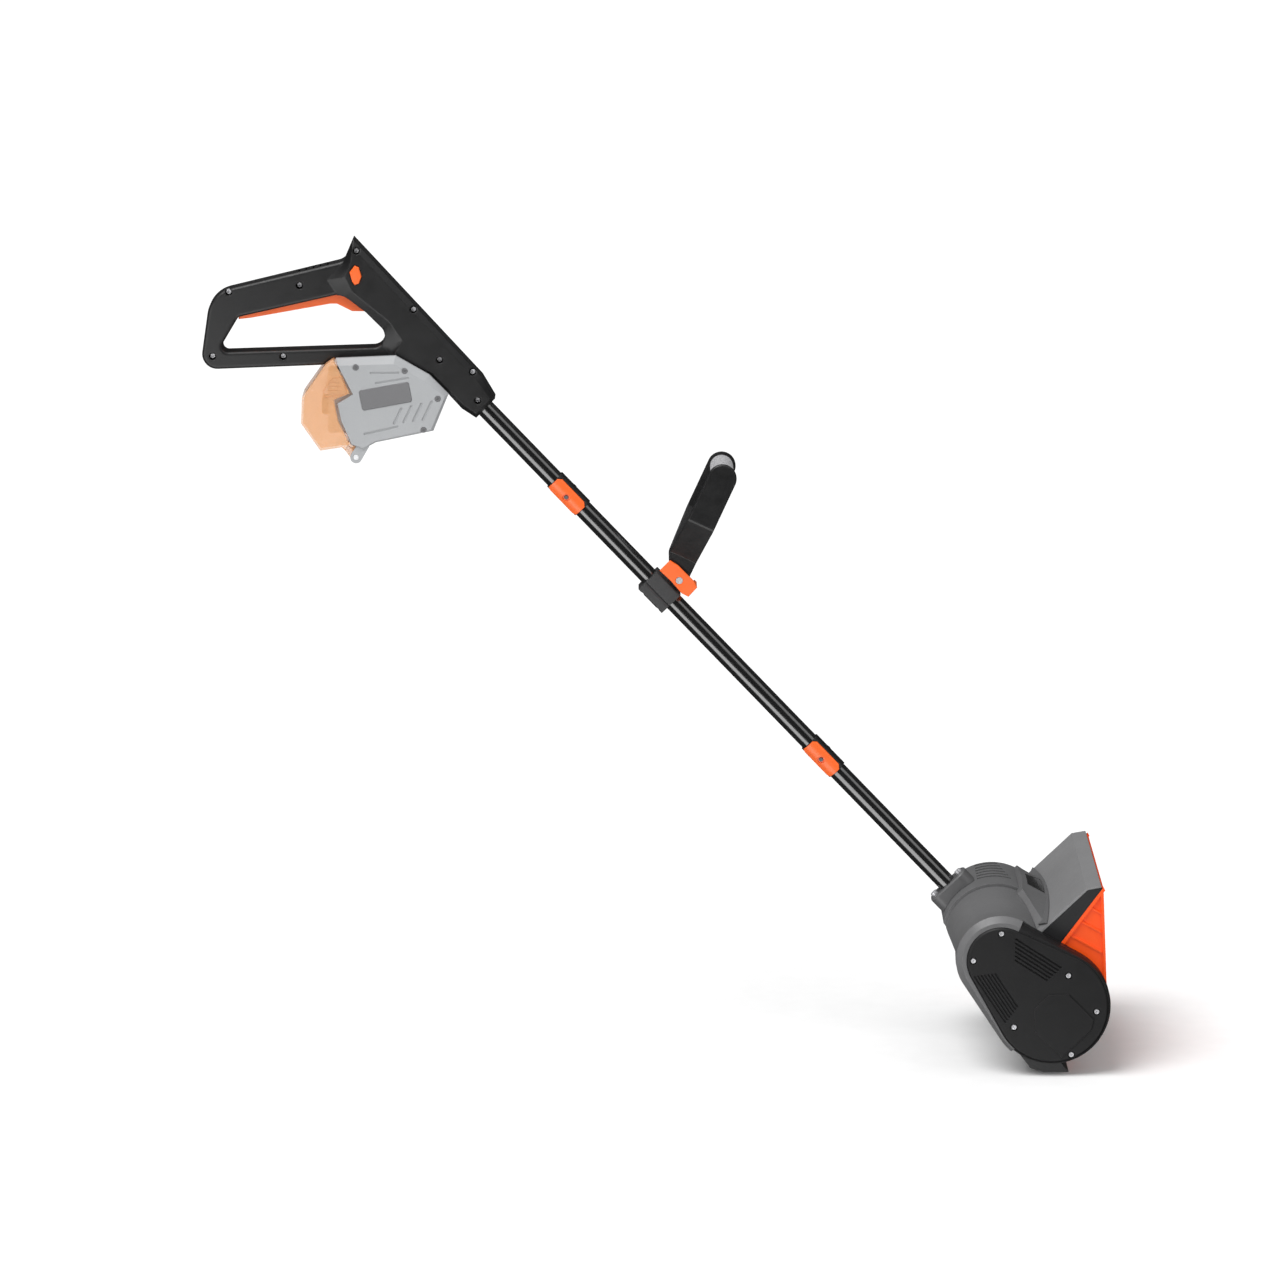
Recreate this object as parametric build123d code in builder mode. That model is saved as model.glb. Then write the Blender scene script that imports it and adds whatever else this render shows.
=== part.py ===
"""Single stage snowblower in the form of a battery powered snow shovel.

World frame, millimetres: +X is the direction of travel, +Z is up, -Y is the near side with the belt cover.
The origin lies on the ground under the rotor axis, in the middle of the clearing width.
The shaft stands at its working tilt, with the scraper flat on the ground.
"""

from build123d import *
import math
import os

os.makedirs("parts", exist_ok=True)

# Driving dimensions
clearing_half_width = 150.0
rotor_centre = (0.0, 85.0)
rotor_radius = 61.0
barrel_centre = (-61.0, 141.5)
barrel_radius = 65.0
scoop_radius = 65.0
sheet = 2.5
deflector_tilt = 43.7
deflector_distance = 72.9

tube_tilt = 46.3
tube_root = (-63.4, 139.2)
tube_radius = 11.0
tube_bore = 9.5
running_gap = 0.06

lower_joint = 297.2
upper_joint = 739.6
clip_twist = -18.0

motor_centre = (-69.0, 148.9)
motor_radius = 23.0
drive_pulley_radius = 11.0
rotor_pulley_radius = 33.0
belt_gap = 0.3

# Frames of reference
tilt = math.radians(tube_tilt)
tube_direction = Vector(-math.cos(tilt), 0, math.sin(tilt))
tube_normal = Vector(math.sin(tilt), 0, math.cos(tilt))
plate_tilt = math.radians(deflector_tilt)
plate_direction = Vector(math.cos(plate_tilt), 0, math.sin(plate_tilt))
plate_normal = Vector(-math.sin(plate_tilt), 0, math.cos(plate_tilt))


def side_plane(y):
    """The side view at world Y = y. Its normal points to the near side."""
    return Plane.XZ.offset(-y)


def tube_side_plane(y):
    """The side view in tube coordinates. Its x runs up the tube, its normal points to the far side."""
    return Plane(origin=(tube_root[0], y, tube_root[1]), x_dir=tube_direction, z_dir=(0, 1, 0))


def tube_section(station):
    """The plane square to the tube at a station. Its x points to the near side, its y up and forward."""
    origin = Vector(tube_root[0], 0, tube_root[1]) + tube_direction * station
    return Plane(origin=origin, x_dir=(0, -1, 0), z_dir=tube_direction)


def plate_plane(height):
    """The plane of the deflector plate, raised by a height. Its x is world Y, its y runs up the plate."""
    foot = Vector(rotor_centre[0], 0, rotor_centre[1]) + plate_normal * (deflector_distance + height)
    return Plane(origin=foot, x_dir=(0, 1, 0), z_dir=plate_normal * -1)


def polar(centre, radius, angle):
    """A point at an angle on a circle, in the side view."""
    turn = math.radians(angle)
    return (centre[0] + radius * math.cos(turn), centre[1] + radius * math.sin(turn))


def on_plate(distance, run):
    """A side view point: a distance from the rotor axis square to the plate, and a run up the plate."""
    return (
        rotor_centre[0] + plate_normal.X * distance + plate_direction.X * run,
        rotor_centre[1] + plate_normal.Z * distance + plate_direction.Z * run,
    )


def racetrack(big_radius, small_radius):
    """Sketch of the belt drive's outline, a hull of circles on the rotor axis and on the barrel axis."""
    with Locations(rotor_centre):
        Circle(big_radius)
    with Locations(barrel_centre):
        Circle(small_radius)
    make_hull()


def side_screws(points, seat, head_radius, head_height, shank_radius, length, inward=1):
    """Round headed screws along Y with a cross recess. inward is 1 on the near side, -1 on the far side."""
    with BuildSketch(side_plane(seat)) as shanks:
        with Locations(*points):
            Circle(shank_radius)
    extrude(shanks.sketch, amount=-length * inward)
    with BuildSketch(side_plane(seat)) as heads:
        with Locations(*points):
            Circle(head_radius)
    extrude(heads.sketch, amount=head_height * inward, taper=12)
    with BuildSketch(side_plane(seat - head_height * inward)) as recesses:
        with Locations(*points):
            Rectangle(head_radius * 1.1, head_radius * 0.3, rotation=20)
            Rectangle(head_radius * 1.1, head_radius * 0.3, rotation=110)
    extrude(recesses.sketch, amount=-head_height * 0.55 * inward, mode=Mode.SUBTRACT)


# Scoop: the liner behind the rotor, its straight run up to the lip, and the two side walls
wall_inner = 144.0
wall_outer = 146.9
liner_radius = scoop_radius + sheet
lip_tip = (60.0, 223.8)
tip_reach = math.hypot(lip_tip[0] - rotor_centre[0], lip_tip[1] - rotor_centre[1])
tip_turn = math.atan2(lip_tip[1] - rotor_centre[1], lip_tip[0] - rotor_centre[0])
liner_tilt = math.degrees(tip_turn - math.asin(liner_radius / tip_reach))
liner_run = math.sqrt(tip_reach**2 - liner_radius**2)
wall_tip = (60.8, 226.0)
wall_front_angle = 10.3
rim_foot = (6.5, 152.0)
bearing_radius = 13.0


def wrap_band(inner_radius, outer_radius, front_angle, run_tilt, run_length):
    """Sketch of a sheet that wraps behind the rotor and runs on straight from the end of its arc."""
    sweep_angle = 90 + run_tilt - front_angle - 360
    with BuildLine() as outline:
        outer = CenterArc(rotor_centre, outer_radius, front_angle, sweep_angle)
        inner = CenterArc(rotor_centre, inner_radius, front_angle, sweep_angle)
        outer_run = PolarLine(outer @ 1, run_length, run_tilt)
        inner_run = PolarLine(inner @ 1, run_length, run_tilt)
        Line(outer @ 0, inner @ 0)
        Line(outer_run @ 1, inner_run @ 1)
    make_face(outline.edges())


rim_direction = Vector(rim_foot[0] - wall_tip[0], rim_foot[1] - wall_tip[1]).normalized()
rim_length = math.dist(rim_foot, wall_tip)
rim_width = 4.0
rib_width = 2.6
rib_slope = -29.0
rib_starts = (0.31, 0.53, 0.76)


def along_rim(share):
    """A point on the rim of the side wall, a share of the way down from its tip."""
    return (
        wall_tip[0] + rim_direction.X * rim_length * share,
        wall_tip[1] + rim_direction.Y * rim_length * share,
    )


with BuildPart() as scoop:
    with BuildSketch(side_plane(wall_inner)):
        wrap_band(scoop_radius, liner_radius, -70, liner_tilt, liner_run)
    extrude(amount=2 * wall_inner)
    for side in (-1, 1):
        low, high = sorted((side * wall_inner, side * wall_outer))
        with BuildSketch(side_plane(high)):
            with BuildLine():
                wall_sweep = liner_tilt - wall_front_angle - 270
                arc = CenterArc(rotor_centre, liner_radius, wall_front_angle, wall_sweep)
                Polyline(arc @ 1, lip_tip, wall_tip, arc @ 0)
            make_face()
            with Locations(rotor_centre):
                Circle(bearing_radius + 1.0, mode=Mode.SUBTRACT)
        extrude(amount=high - low)
        low, high = sorted((side * wall_outer, side * (clearing_half_width - 0.1)))
        with BuildSketch(side_plane(high)):
            with BuildLine():
                rim_edge = Line(wall_tip, rim_foot)
                rim_inner = Line(rim_edge @ 0 + (2.0, -rim_width), rim_edge @ 1 + (rim_width, -rim_width / 2))
                Line(rim_edge @ 0, rim_inner @ 0)
                Line(rim_edge @ 1, rim_inner @ 1)
            make_face()
            with BuildLine():
                wall_front = Vector(*polar(rotor_centre, liner_radius, wall_front_angle))
                wall_back = (wall_tip[0] - 3, wall_tip[1] - 4)
                Polyline(wall_tip, wall_front, wall_front - (3, 0), wall_back, close=True)
            make_face()
        extrude(amount=high - low)
        low, high = sorted((side * wall_outer, side * (wall_outer + 1.6)))
        with BuildSketch(side_plane(high)):
            for share in rib_starts:
                start = along_rim(share)
                with BuildLine():
                    rib_run = (wall_tip[0] - 1.0 - start[0]) / math.cos(math.radians(rib_slope))
                    top = PolarLine(start, rib_run, rib_slope)
                    bottom = Line(top @ 0 + (0, -rib_width), top @ 1 + (0, -rib_width))
                    Line(top @ 0, bottom @ 0)
                    Line(top @ 1, bottom @ 1)
                make_face()
        extrude(amount=high - low)
    scraper_holes = [(0.0, y) for y in (-135, -81, -27, 27, 81, 135)]
    with BuildSketch(Plane.XY):
        with Locations(*scraper_holes):
            Circle(2.1)
    extrude(amount=25, mode=Mode.SUBTRACT)

# Back shell: the black skin behind the liner and its two end plates
back_inner = liner_radius + 0.1
back_outer = 70.0
plate_inner = wall_outer + 0.1
end_plate_outline = (
    on_plate(back_outer, 125.6),
    (57.2, 225.0),
    (59.6, 224.8),
    (6.2, 152.3),
    (-31.0, 105.0),
    (-31.0, 40.0),
    polar(rotor_centre, back_outer, -110),
)

with BuildPart() as scoop_back:
    with BuildSketch(side_plane(plate_inner)):
        wrap_band(back_inner, back_outer, -78, deflector_tilt, 30)
    extrude(amount=2 * plate_inner)
    for side in (-1, 1):
        low, high = sorted((side * plate_inner, side * clearing_half_width))
        with BuildSketch(side_plane(high)):
            with BuildLine():
                arc = CenterArc(rotor_centre, back_outer, -110, deflector_tilt + 90 + 110 - 360)
                Polyline(arc @ 1, *end_plate_outline)
            make_face()
            with Locations(rotor_centre):
                Circle(bearing_radius + 4.0, mode=Mode.SUBTRACT)
        extrude(amount=high - low)
    with BuildSketch(Plane.XY):
        with Locations(*scraper_holes):
            Circle(2.1)
    extrude(amount=25, mode=Mode.SUBTRACT)

# Deflector: the grey top plate and its lip
lip_corner = (41.0, 225.0)
lip_end = (58.0, 228.0)
plate_start = 8.0
with BuildPart() as deflector:
    with BuildSketch(side_plane(clearing_half_width)):
        with BuildLine():
            Polyline(on_plate(deflector_distance, plate_start), lip_corner, lip_end, (58.4, 225.6),
                     (42.2, 222.7), on_plate(deflector_distance - sheet, plate_start), close=True)
        make_face()
    extrude(amount=2 * clearing_half_width)
    fillet(deflector.edges().filter_by(Axis.Y).sort_by(Axis.Z)[-2:], 0.6)

# Scraper bar under the scoop, flat on the ground, with its six screws
scraper_radius = 70.3
with BuildPart() as scraper:
    with BuildSketch(side_plane(clearing_half_width)):
        with BuildLine():
            back = CenterArc(rotor_centre, scraper_radius, -82, -43.5)
            Polyline(back @ 0, (22.0, 0.0), (-8.0, 0.0), (-24.0, 5.0), back @ 1)
        make_face()
    extrude(amount=2 * clearing_half_width)
    with BuildSketch(Plane.XY):
        with Locations(*scraper_holes):
            Circle(2.1)
    extrude(amount=25, mode=Mode.SUBTRACT)
    with BuildSketch(Plane.XY):
        with Locations(*scraper_holes):
            Circle(4.2)
    extrude(amount=3.2, mode=Mode.SUBTRACT)

with BuildPart() as scraper_screws:
    with BuildSketch(Plane.XY.offset(0.6)):
        with Locations(*scraper_holes):
            Circle(3.9)
    extrude(amount=2.5)
    with BuildSketch(Plane.XY.offset(3.1)):
        with Locations(*scraper_holes):
            Circle(2.0)
    extrude(amount=15.0)
    with BuildSketch(Plane.XY.offset(0.6)):
        with Locations(*scraper_holes):
            Rectangle(4.4, 1.0)
            Rectangle(1.0, 4.4)
    extrude(amount=1.4, mode=Mode.SUBTRACT)

# Belt case, its cover and screws, on the near side
case_back = -150.2
case_front = -166.0
cover_front = -175.0
cover_skin = 2.5
case_track = (70.0, 50.3)
case_skin = 3.0
cover_track = (67.0, 41.0)
rim_gap = 0.15
rim_front = -173.4
rim_crease = (68.6, 46.0)
skirt_track = (73.0, 53.3)
skirt_skin = 2.6
skirt_back = -150.1
skirt_length = 16.0
skirt_lower_angle = -131.0
skirt_upper_angle = 61.0
cover_screw_points = [(-61, 175), (-94, 142), (19, 124), (53, 80), (-45, 61), (23.4, 27.6)]
bearing_width = 8.0


def rim_form(base_track):
    """Solid ring round the cover that tapers from a racetrack at the case's front to the rim's crease."""
    with BuildPart() as ring:
        with BuildSketch(side_plane(case_front - 0.1)):
            racetrack(*base_track)
        with BuildSketch(side_plane(rim_front)):
            racetrack(*rim_crease)
        loft(ruled=True)
        with BuildSketch(side_plane(case_front)):
            racetrack(cover_track[0] + rim_gap, cover_track[1] + rim_gap)
        extrude(amount=20, mode=Mode.SUBTRACT)
    return ring.part


def front_sector(inset):
    """Block through the housing on the side that the grey skirt leaves open, drawn in by a distance."""
    with BuildPart() as block:
        with BuildSketch(side_plane(skirt_back)):
            with BuildLine():
                Polyline(rotor_centre, polar(rotor_centre, 200, skirt_lower_angle), (300, -200), (300, 300),
                         polar(barrel_centre, 200, skirt_upper_angle), barrel_centre, close=True)
            make_face()
            if inset > 0:
                offset(amount=-inset, kind=Kind.INTERSECTION)
        extrude(amount=26)
    return block.part


with BuildPart() as belt_case:
    with BuildSketch(side_plane(case_back)):
        racetrack(*case_track)
    extrude(amount=case_back - case_front + 0.1)
    with BuildSketch(side_plane(case_back - case_skin)):
        racetrack(case_track[0] - case_skin, case_track[1] - case_skin)
    extrude(amount=case_back - case_front, mode=Mode.SUBTRACT)
    add(rim_form(case_track) & front_sector(0.1))
    with BuildSketch(side_plane(case_back)):
        with Locations(*cover_screw_points):
            Circle(4.6)
    extrude(amount=case_back - case_front)
    with BuildSketch(side_plane(case_back)):
        with Locations(rotor_centre):
            Circle(bearing_radius + 3.5)
    extrude(amount=bearing_width)
    with BuildSketch(side_plane(case_back)):
        with Locations(rotor_centre):
            Circle(bearing_radius)
        with Locations(motor_centre):
            Circle(6.0)
    extrude(amount=bearing_width, mode=Mode.SUBTRACT)
    with BuildSketch(side_plane(case_front)):
        with Locations(*cover_screw_points):
            Circle(1.95)
    extrude(amount=-11, mode=Mode.SUBTRACT)

# The cover's vents are two groups of parallel grooves whose ends follow the outline of a tapered patch
octagon_panel = [(-21, 57), (-21, 84), (-4, 101), (20, 101), (50, 71), (47, 58), (12, 24), (0, 36)]
upper_groove_slope = -32.8
lower_groove_slope = -56.5


def vent_groove(start, slope, length, width=2.4):
    """Sketch of one groove that starts at a point and runs down its slope."""
    middle = polar(start, length / 2, slope)
    with Locations(middle):
        SlotOverall(length, width, rotation=slope)


with BuildPart() as belt_cover:
    with BuildSketch(side_plane(case_front - 0.1)):
        racetrack(*cover_track)
    extrude(amount=case_front - 0.1 - cover_front)
    chamfer(belt_cover.faces().sort_by(Axis.Y)[0].edges(), 2.2)
    with BuildSketch(side_plane(case_front - 0.1)):
        racetrack(cover_track[0] - case_skin, cover_track[1] - case_skin)
    extrude(amount=case_front - 0.1 - cover_front - cover_skin, mode=Mode.SUBTRACT)
    with BuildSketch(side_plane(case_front - 0.1)):
        with Locations(*cover_screw_points):
            Circle(4.9)
    extrude(amount=case_front - 0.1 - cover_front - cover_skin)
    with BuildSketch(side_plane(cover_front)):
        Polygon(*octagon_panel, align=None)
    extrude(amount=1.2, taper=20)
    with BuildSketch(side_plane(cover_front)):
        for step in range(6):
            vent_groove((-44.5, 169.5 - 5.2 * step), upper_groove_slope, 66 - 3.9 * step)
        for step in range(7):
            start = (-92.6 + 4.1 * step, 124.2 + 0.55 * step)
            vent_groove(start, lower_groove_slope, 69 - 3.2 * step)
    extrude(amount=-1.5, mode=Mode.SUBTRACT)
    with BuildSketch(side_plane(cover_front - 1)):
        with Locations(*cover_screw_points):
            Circle(4.2)
    extrude(amount=-3.9, mode=Mode.SUBTRACT)
    with BuildSketch(side_plane(cover_front)):
        with Locations(*cover_screw_points):
            Circle(2.1)
    extrude(amount=-9, mode=Mode.SUBTRACT)

with BuildPart() as cover_screws:
    side_screws(cover_screw_points, cover_front + 2.85, 3.3, 2.3, 1.9, 14)

# Far side cap over the rotor's bearing
cap_outer = 161.0
with BuildPart() as side_cap:
    with BuildSketch(side_plane(cap_outer)):
        with Locations(rotor_centre):
            Circle(30.0)
    extrude(amount=cap_outer - wall_outer - 0.1)
    chamfer(side_cap.faces().sort_by(Axis.Y)[-1].edges(), 2.5)
    with BuildSketch(side_plane(cap_outer - 2.8)):
        with Locations(rotor_centre):
            Circle(bearing_radius)
    extrude(amount=cap_outer, mode=Mode.SUBTRACT)

# Rotor: shaft, hub with four curved blades, rubber paddles on the blade tips, and the bearings
shaft_radius = 5.0
shaft_near = -171.5
shaft_far = 157.0
hub_half_width = 142.0
blade_count = 4
paddle_root = 50.0

with BuildPart() as rotor_shaft:
    with BuildSketch(side_plane(shaft_far)):
        with Locations(rotor_centre):
            Circle(shaft_radius)
    extrude(amount=shaft_far - shaft_near)
    chamfer(rotor_shaft.edges(), 0.6)

with BuildSketch() as blade_section:
    with BuildLine():
        ThreePointArc((12, -2), (36, 4), (57, 18))
        Line((57, 18), (54.5, 21.5))
        ThreePointArc((54.5, 21.5), (34, 8.5), (12, 2.5))
        Line((12, 2.5), (12, -2))
    make_face()

with BuildPart() as rotor_hub:
    with BuildSketch(side_plane(hub_half_width - 3)):
        with Locations(rotor_centre):
            with PolarLocations(0, blade_count):
                add(blade_section.sketch_local)
        with Locations(rotor_centre):
            Circle(paddle_root, mode=Mode.INTERSECT)
            Circle(14.0)
    extrude(amount=2 * hub_half_width - 6)
    for far_face in (hub_half_width, 3 - hub_half_width):
        with BuildSketch(side_plane(far_face)):
            with Locations(rotor_centre):
                Circle(40.0)
        extrude(amount=3)
    with BuildSketch(side_plane(hub_half_width)):
        with Locations(rotor_centre):
            Circle(shaft_radius + 0.05)
    extrude(amount=2 * hub_half_width, mode=Mode.SUBTRACT)

with BuildPart() as rubber_paddles:
    with BuildSketch(side_plane(hub_half_width - 3)):
        with Locations(rotor_centre):
            with PolarLocations(0, blade_count):
                add(blade_section.sketch_local)
        with Locations(rotor_centre):
            Circle(paddle_root + 0.1, mode=Mode.SUBTRACT)
    extrude(amount=2 * hub_half_width - 6)

with BuildPart() as rotor_bearings:
    for far_face in (case_back, -case_back + bearing_width):
        with BuildSketch(side_plane(far_face)):
            with Locations(rotor_centre):
                Circle(bearing_radius)
                Circle(shaft_radius + 0.05, mode=Mode.SUBTRACT)
        extrude(amount=bearing_width)

# Belt drive inside the case
with BuildPart() as rotor_pulley:
    with BuildSketch(side_plane(-159)):
        with Locations(rotor_centre):
            Circle(rotor_pulley_radius)
    extrude(amount=12)
    for far_face in (-159, -169.8):
        with BuildSketch(side_plane(far_face)):
            with Locations(rotor_centre):
                Circle(rotor_pulley_radius + 2)
        extrude(amount=1.2)
    with BuildSketch(side_plane(-159)):
        with Locations(rotor_centre):
            Circle(shaft_radius + 0.05)
            with PolarLocations(20, 5):
                Circle(6.0)
    extrude(amount=12, mode=Mode.SUBTRACT)

with BuildPart() as motor_pulley:
    with BuildSketch(side_plane(-159.5)):
        with Locations(motor_centre):
            Circle(drive_pulley_radius)
    extrude(amount=11)
    for far_face in (-159.5, -169.3):
        with BuildSketch(side_plane(far_face)):
            with Locations(motor_centre):
                Circle(drive_pulley_radius + 1.5)
        extrude(amount=1.2)
    with BuildSketch(side_plane(-159.5)):
        with Locations(motor_centre):
            Circle(4.02)
    extrude(amount=11, mode=Mode.SUBTRACT)


def belt_path(offset_distance):
    """Sketch of the hull of both pulleys, grown by a distance."""
    with Locations(rotor_centre):
        Circle(rotor_pulley_radius + offset_distance)
    with Locations(motor_centre):
        Circle(drive_pulley_radius + offset_distance)
    make_hull()


with BuildPart() as belt:
    with BuildSketch(side_plane(-161)):
        belt_path(belt_gap + 2.4)
    extrude(amount=8)
    with BuildSketch(side_plane(-161)):
        belt_path(belt_gap)
    extrude(amount=8, mode=Mode.SUBTRACT)

# Motor
with BuildPart() as motor_armature:
    with BuildSketch(side_plane(5)):
        with Locations(motor_centre):
            Circle(4.0)
    extrude(amount=176)
    with BuildSketch(side_plane(-20)):
        with Locations(motor_centre):
            Circle(14.0)
    extrude(amount=50)

motor_near = -79.8
motor_far = -5.0
motor_screw_points = [(motor_centre[0] - 14, motor_centre[1]), (motor_centre[0] + 14, motor_centre[1])]

with BuildPart() as motor_can:
    with BuildSketch(side_plane(motor_far)):
        with Locations(motor_centre):
            Circle(motor_radius)
    extrude(amount=motor_far - motor_near)
    with BuildSketch(side_plane(motor_far - 2.5)):
        with Locations(motor_centre):
            Circle(motor_radius - 2.5)
    extrude(amount=motor_far - motor_near - 5, mode=Mode.SUBTRACT)
    with BuildSketch(side_plane(motor_far)):
        with Locations(motor_centre):
            Circle(4.06)
    extrude(amount=motor_far - motor_near, mode=Mode.SUBTRACT)
    with BuildSketch(side_plane(motor_near + 3)):
        with Locations(*motor_screw_points):
            Circle(1.55)
    extrude(amount=4, mode=Mode.SUBTRACT)

# Motor housing
barrel_plane = Plane(origin=(barrel_centre[0], 0, barrel_centre[1]), x_dir=(0, 1, 0), z_dir=(1, 0, 0))
barrel_axis = Axis((barrel_centre[0], 0, barrel_centre[1]), (0, 1, 0))
bulkhead_near = -84.0
envelope_radius = 70.4
neck_stations = [(-150.1, 52.0), (-110.0, 54.5), (-70.0, 60.0), (-45.2, 61.5)]


def neck_form(growth):
    """Solid of revolution with the outer form of the neck, grown by a distance."""
    with BuildSketch(barrel_plane) as section:
        with BuildLine() as outline:
            outer = Spline(*[(y, radius + growth) for y, radius in neck_stations])
            Polyline(outer @ 1, (neck_stations[-1][0], 0), (neck_stations[0][0], 0), outer @ 0)
        make_face(outline.edges())
    return revolve(section.sketch, axis=barrel_axis, mode=Mode.PRIVATE)


def scoop_envelope(half_width):
    """The space kept free for the scoop: a round behind the rotor and the wedge under the deflector."""
    with BuildPart() as envelope:
        with BuildSketch(side_plane(half_width)):
            with Locations(rotor_centre):
                Circle(envelope_radius)
            with BuildLine() as outline:
                wedge_top = deflector_distance + 0.3
                Polyline(on_plate(0, 0), on_plate(wedge_top, 0), on_plate(wedge_top, 200), on_plate(0, 200),
                         close=True)
            make_face(outline.edges())
        extrude(amount=2 * half_width)
    return envelope.part


# The underside of the motor housing is cut off flat, parallel to its axis
belly_angle = 215.0
belly_distance = 42.4
belly_skin = 3.0
belly_near = -128.0


def belly_slab(start, depth, near_end, far_end):
    """Block square to the flat underside, from a distance off the barrel's axis outwards."""
    with BuildPart() as slab:
        with BuildSketch(side_plane(far_end)):
            with Locations(polar(barrel_centre, start + depth / 2, belly_angle)):
                Rectangle(depth, 160, rotation=belly_angle)
        extrude(amount=far_end - near_end)
    return slab.part


def barrel_form():
    """Solid of revolution with the outer form of the barrel."""
    with BuildSketch(barrel_plane) as section:
        with BuildLine() as outline:
            Polyline((85, 50), (85, 0), (-45, 0), (-45, 65), (72, 65))
            ThreePointArc((72, 65), (81.4, 59.4), (85, 50))
        make_face(outline.edges())
    return revolve(section.sketch, axis=barrel_axis, mode=Mode.PRIVATE)


with BuildPart() as motor_housing_neck:
    add(neck_form(0))
    add(neck_form(-2.8), mode=Mode.SUBTRACT)
    with BuildSketch(side_plane(bulkhead_near + 4)):
        with Locations(barrel_centre):
            Circle(57.0)
        with Locations(motor_centre):
            Circle(8.5, mode=Mode.SUBTRACT)
        with Locations(*motor_screw_points):
            Circle(1.55, mode=Mode.SUBTRACT)
    extrude(amount=4)
    add(belly_slab(belly_distance, 40, belly_near, -45), mode=Mode.SUBTRACT)
    add(neck_form(0) & belly_slab(belly_distance - belly_skin, belly_skin, belly_near - belly_skin, -45.2))
    add(neck_form(0) & belly_slab(belly_distance - belly_skin, 40, belly_near - belly_skin, belly_near))
    with BuildSketch(side_plane(skirt_back)):
        racetrack(*skirt_track)
    extrude(amount=skirt_length)
    with BuildSketch(side_plane(skirt_back)):
        racetrack(skirt_track[0] - skirt_skin, skirt_track[1] - skirt_skin)
    extrude(amount=skirt_length, mode=Mode.SUBTRACT)
    add(rim_form(skirt_track))
    add(front_sector(0), mode=Mode.SUBTRACT)
    add(scoop_envelope(150.05), mode=Mode.SUBTRACT)

with BuildPart() as motor_screws:
    side_screws(motor_screw_points, bulkhead_near, 2.6, 1.8, 1.5, 8)

vent_stations = [-4.0 + 14.0 * step for step in range(6)]
vent_width = 7.0
socket_bore = tube_radius + 0.05
bolt_reach = 19.5


def tube_bore_cut(start, length, radius):
    """Cut a round hole along the tube's axis."""
    with BuildSketch(tube_section(start)) as section:
        Circle(radius)
    extrude(section.sketch, amount=length, mode=Mode.SUBTRACT)


def barrel_block(radius, near_end, far_end):
    """Solid cylinder on the barrel's axis."""
    with BuildPart() as block:
        with BuildSketch(side_plane(far_end)):
            with Locations(barrel_centre):
                Circle(radius)
        extrude(amount=far_end - near_end)
    return block.part


with BuildPart() as motor_housing_barrel:
    with BuildSketch(barrel_plane):
        with BuildLine():
            Polyline((85, 50), (85, 0), (82, 0), (82, 48))
            ThreePointArc((82, 48), (79.3, 57), (72, 62))
            Polyline((72, 62), (-42, 62), (-42, 58.6), (-45, 58.6), (-45, 65), (72, 65))
            ThreePointArc((72, 65), (81.4, 59.4), (85, 50))
        make_face()
    revolve(axis=barrel_axis)
    add(belly_slab(belly_distance, 40, -46, 86), mode=Mode.SUBTRACT)
    add(barrel_form() & belly_slab(belly_distance - belly_skin, belly_skin, -42, 84))
    with BuildSketch(tube_section(38)):
        RectangleRounded(34, 55, 12)
    extrude(amount=19)
    with BuildSketch(tube_section(56)):
        Circle(16.0)
    extrude(amount=5)
    tube_bore_cut(30, 60, socket_bore)
    with BuildSketch(tube_section(49)):
        with Locations((0, bolt_reach), (0, -bolt_reach)):
            Circle(2.6)
    extrude(amount=30, mode=Mode.SUBTRACT)
    for step, station in enumerate(vent_stations):
        front_angle = 72 + 2.4 * step
        with BuildSketch(side_plane(station + vent_width / 2)):
            Polygon(polar(barrel_centre, 58, 109), polar(barrel_centre, 80, 109),
                    polar(barrel_centre, 80, front_angle), polar(barrel_centre, 58, front_angle), align=None)
        extrude(amount=vent_width, mode=Mode.SUBTRACT)
    add(scoop_envelope(90), mode=Mode.SUBTRACT)

# Saddle between the barrel and the deflector, with a blank inset plate on its front facet
saddle_height = 34.0
saddle_skin = 2.0
with BuildPart() as saddle_block:
    with BuildSketch(plate_plane(0.3)):
        with BuildLine():
            ThreePointArc((-123, 58), (0, 74.7), (123, 58))
            Polyline((123, 58), (135, 28), (-135, 28), (-123, 58))
        make_face()
    with BuildSketch(plate_plane(saddle_height)):
        with BuildLine():
            ThreePointArc((-62, 60), (2, 62), (66, 60))
            Polyline((66, 60), (66, 22), (-62, 22), (-62, 60))
        make_face()
    loft(ruled=True)

facet_normal = plate_direction * 0.94 + plate_normal * 0.34
facet_foot = Vector(rotor_centre[0], 0, rotor_centre[1]) + plate_direction * 74.2
facet_foot = facet_foot + plate_normal * (deflector_distance + 2.3)
facet_plane = Plane(origin=facet_foot, x_dir=(0, 1, 0), z_dir=facet_normal)


def label_prism(growth):
    """Prism through the saddle's front facet with the plate's outline, grown by a distance."""
    with BuildPart() as prism:
        with BuildSketch(facet_plane):
            Polygon((-30, 3), (50, 3), (32, 26), (-25, 26), align=None)
            if growth > 0:
                offset(amount=growth, kind=Kind.INTERSECTION)
        extrude(amount=15, both=True)
    return prism.part


with BuildPart() as label_plate:
    add(label_prism(0))
    add(saddle_block.part.moved(Location(facet_normal * -0.3)), mode=Mode.INTERSECT)
    add(saddle_block.part.moved(Location(facet_normal * -1.2)), mode=Mode.SUBTRACT)

with BuildPart() as label_pocket:
    add(label_prism(0.2))
    add(saddle_block.part.moved(Location(facet_normal * -1.3)), mode=Mode.SUBTRACT)

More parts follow.
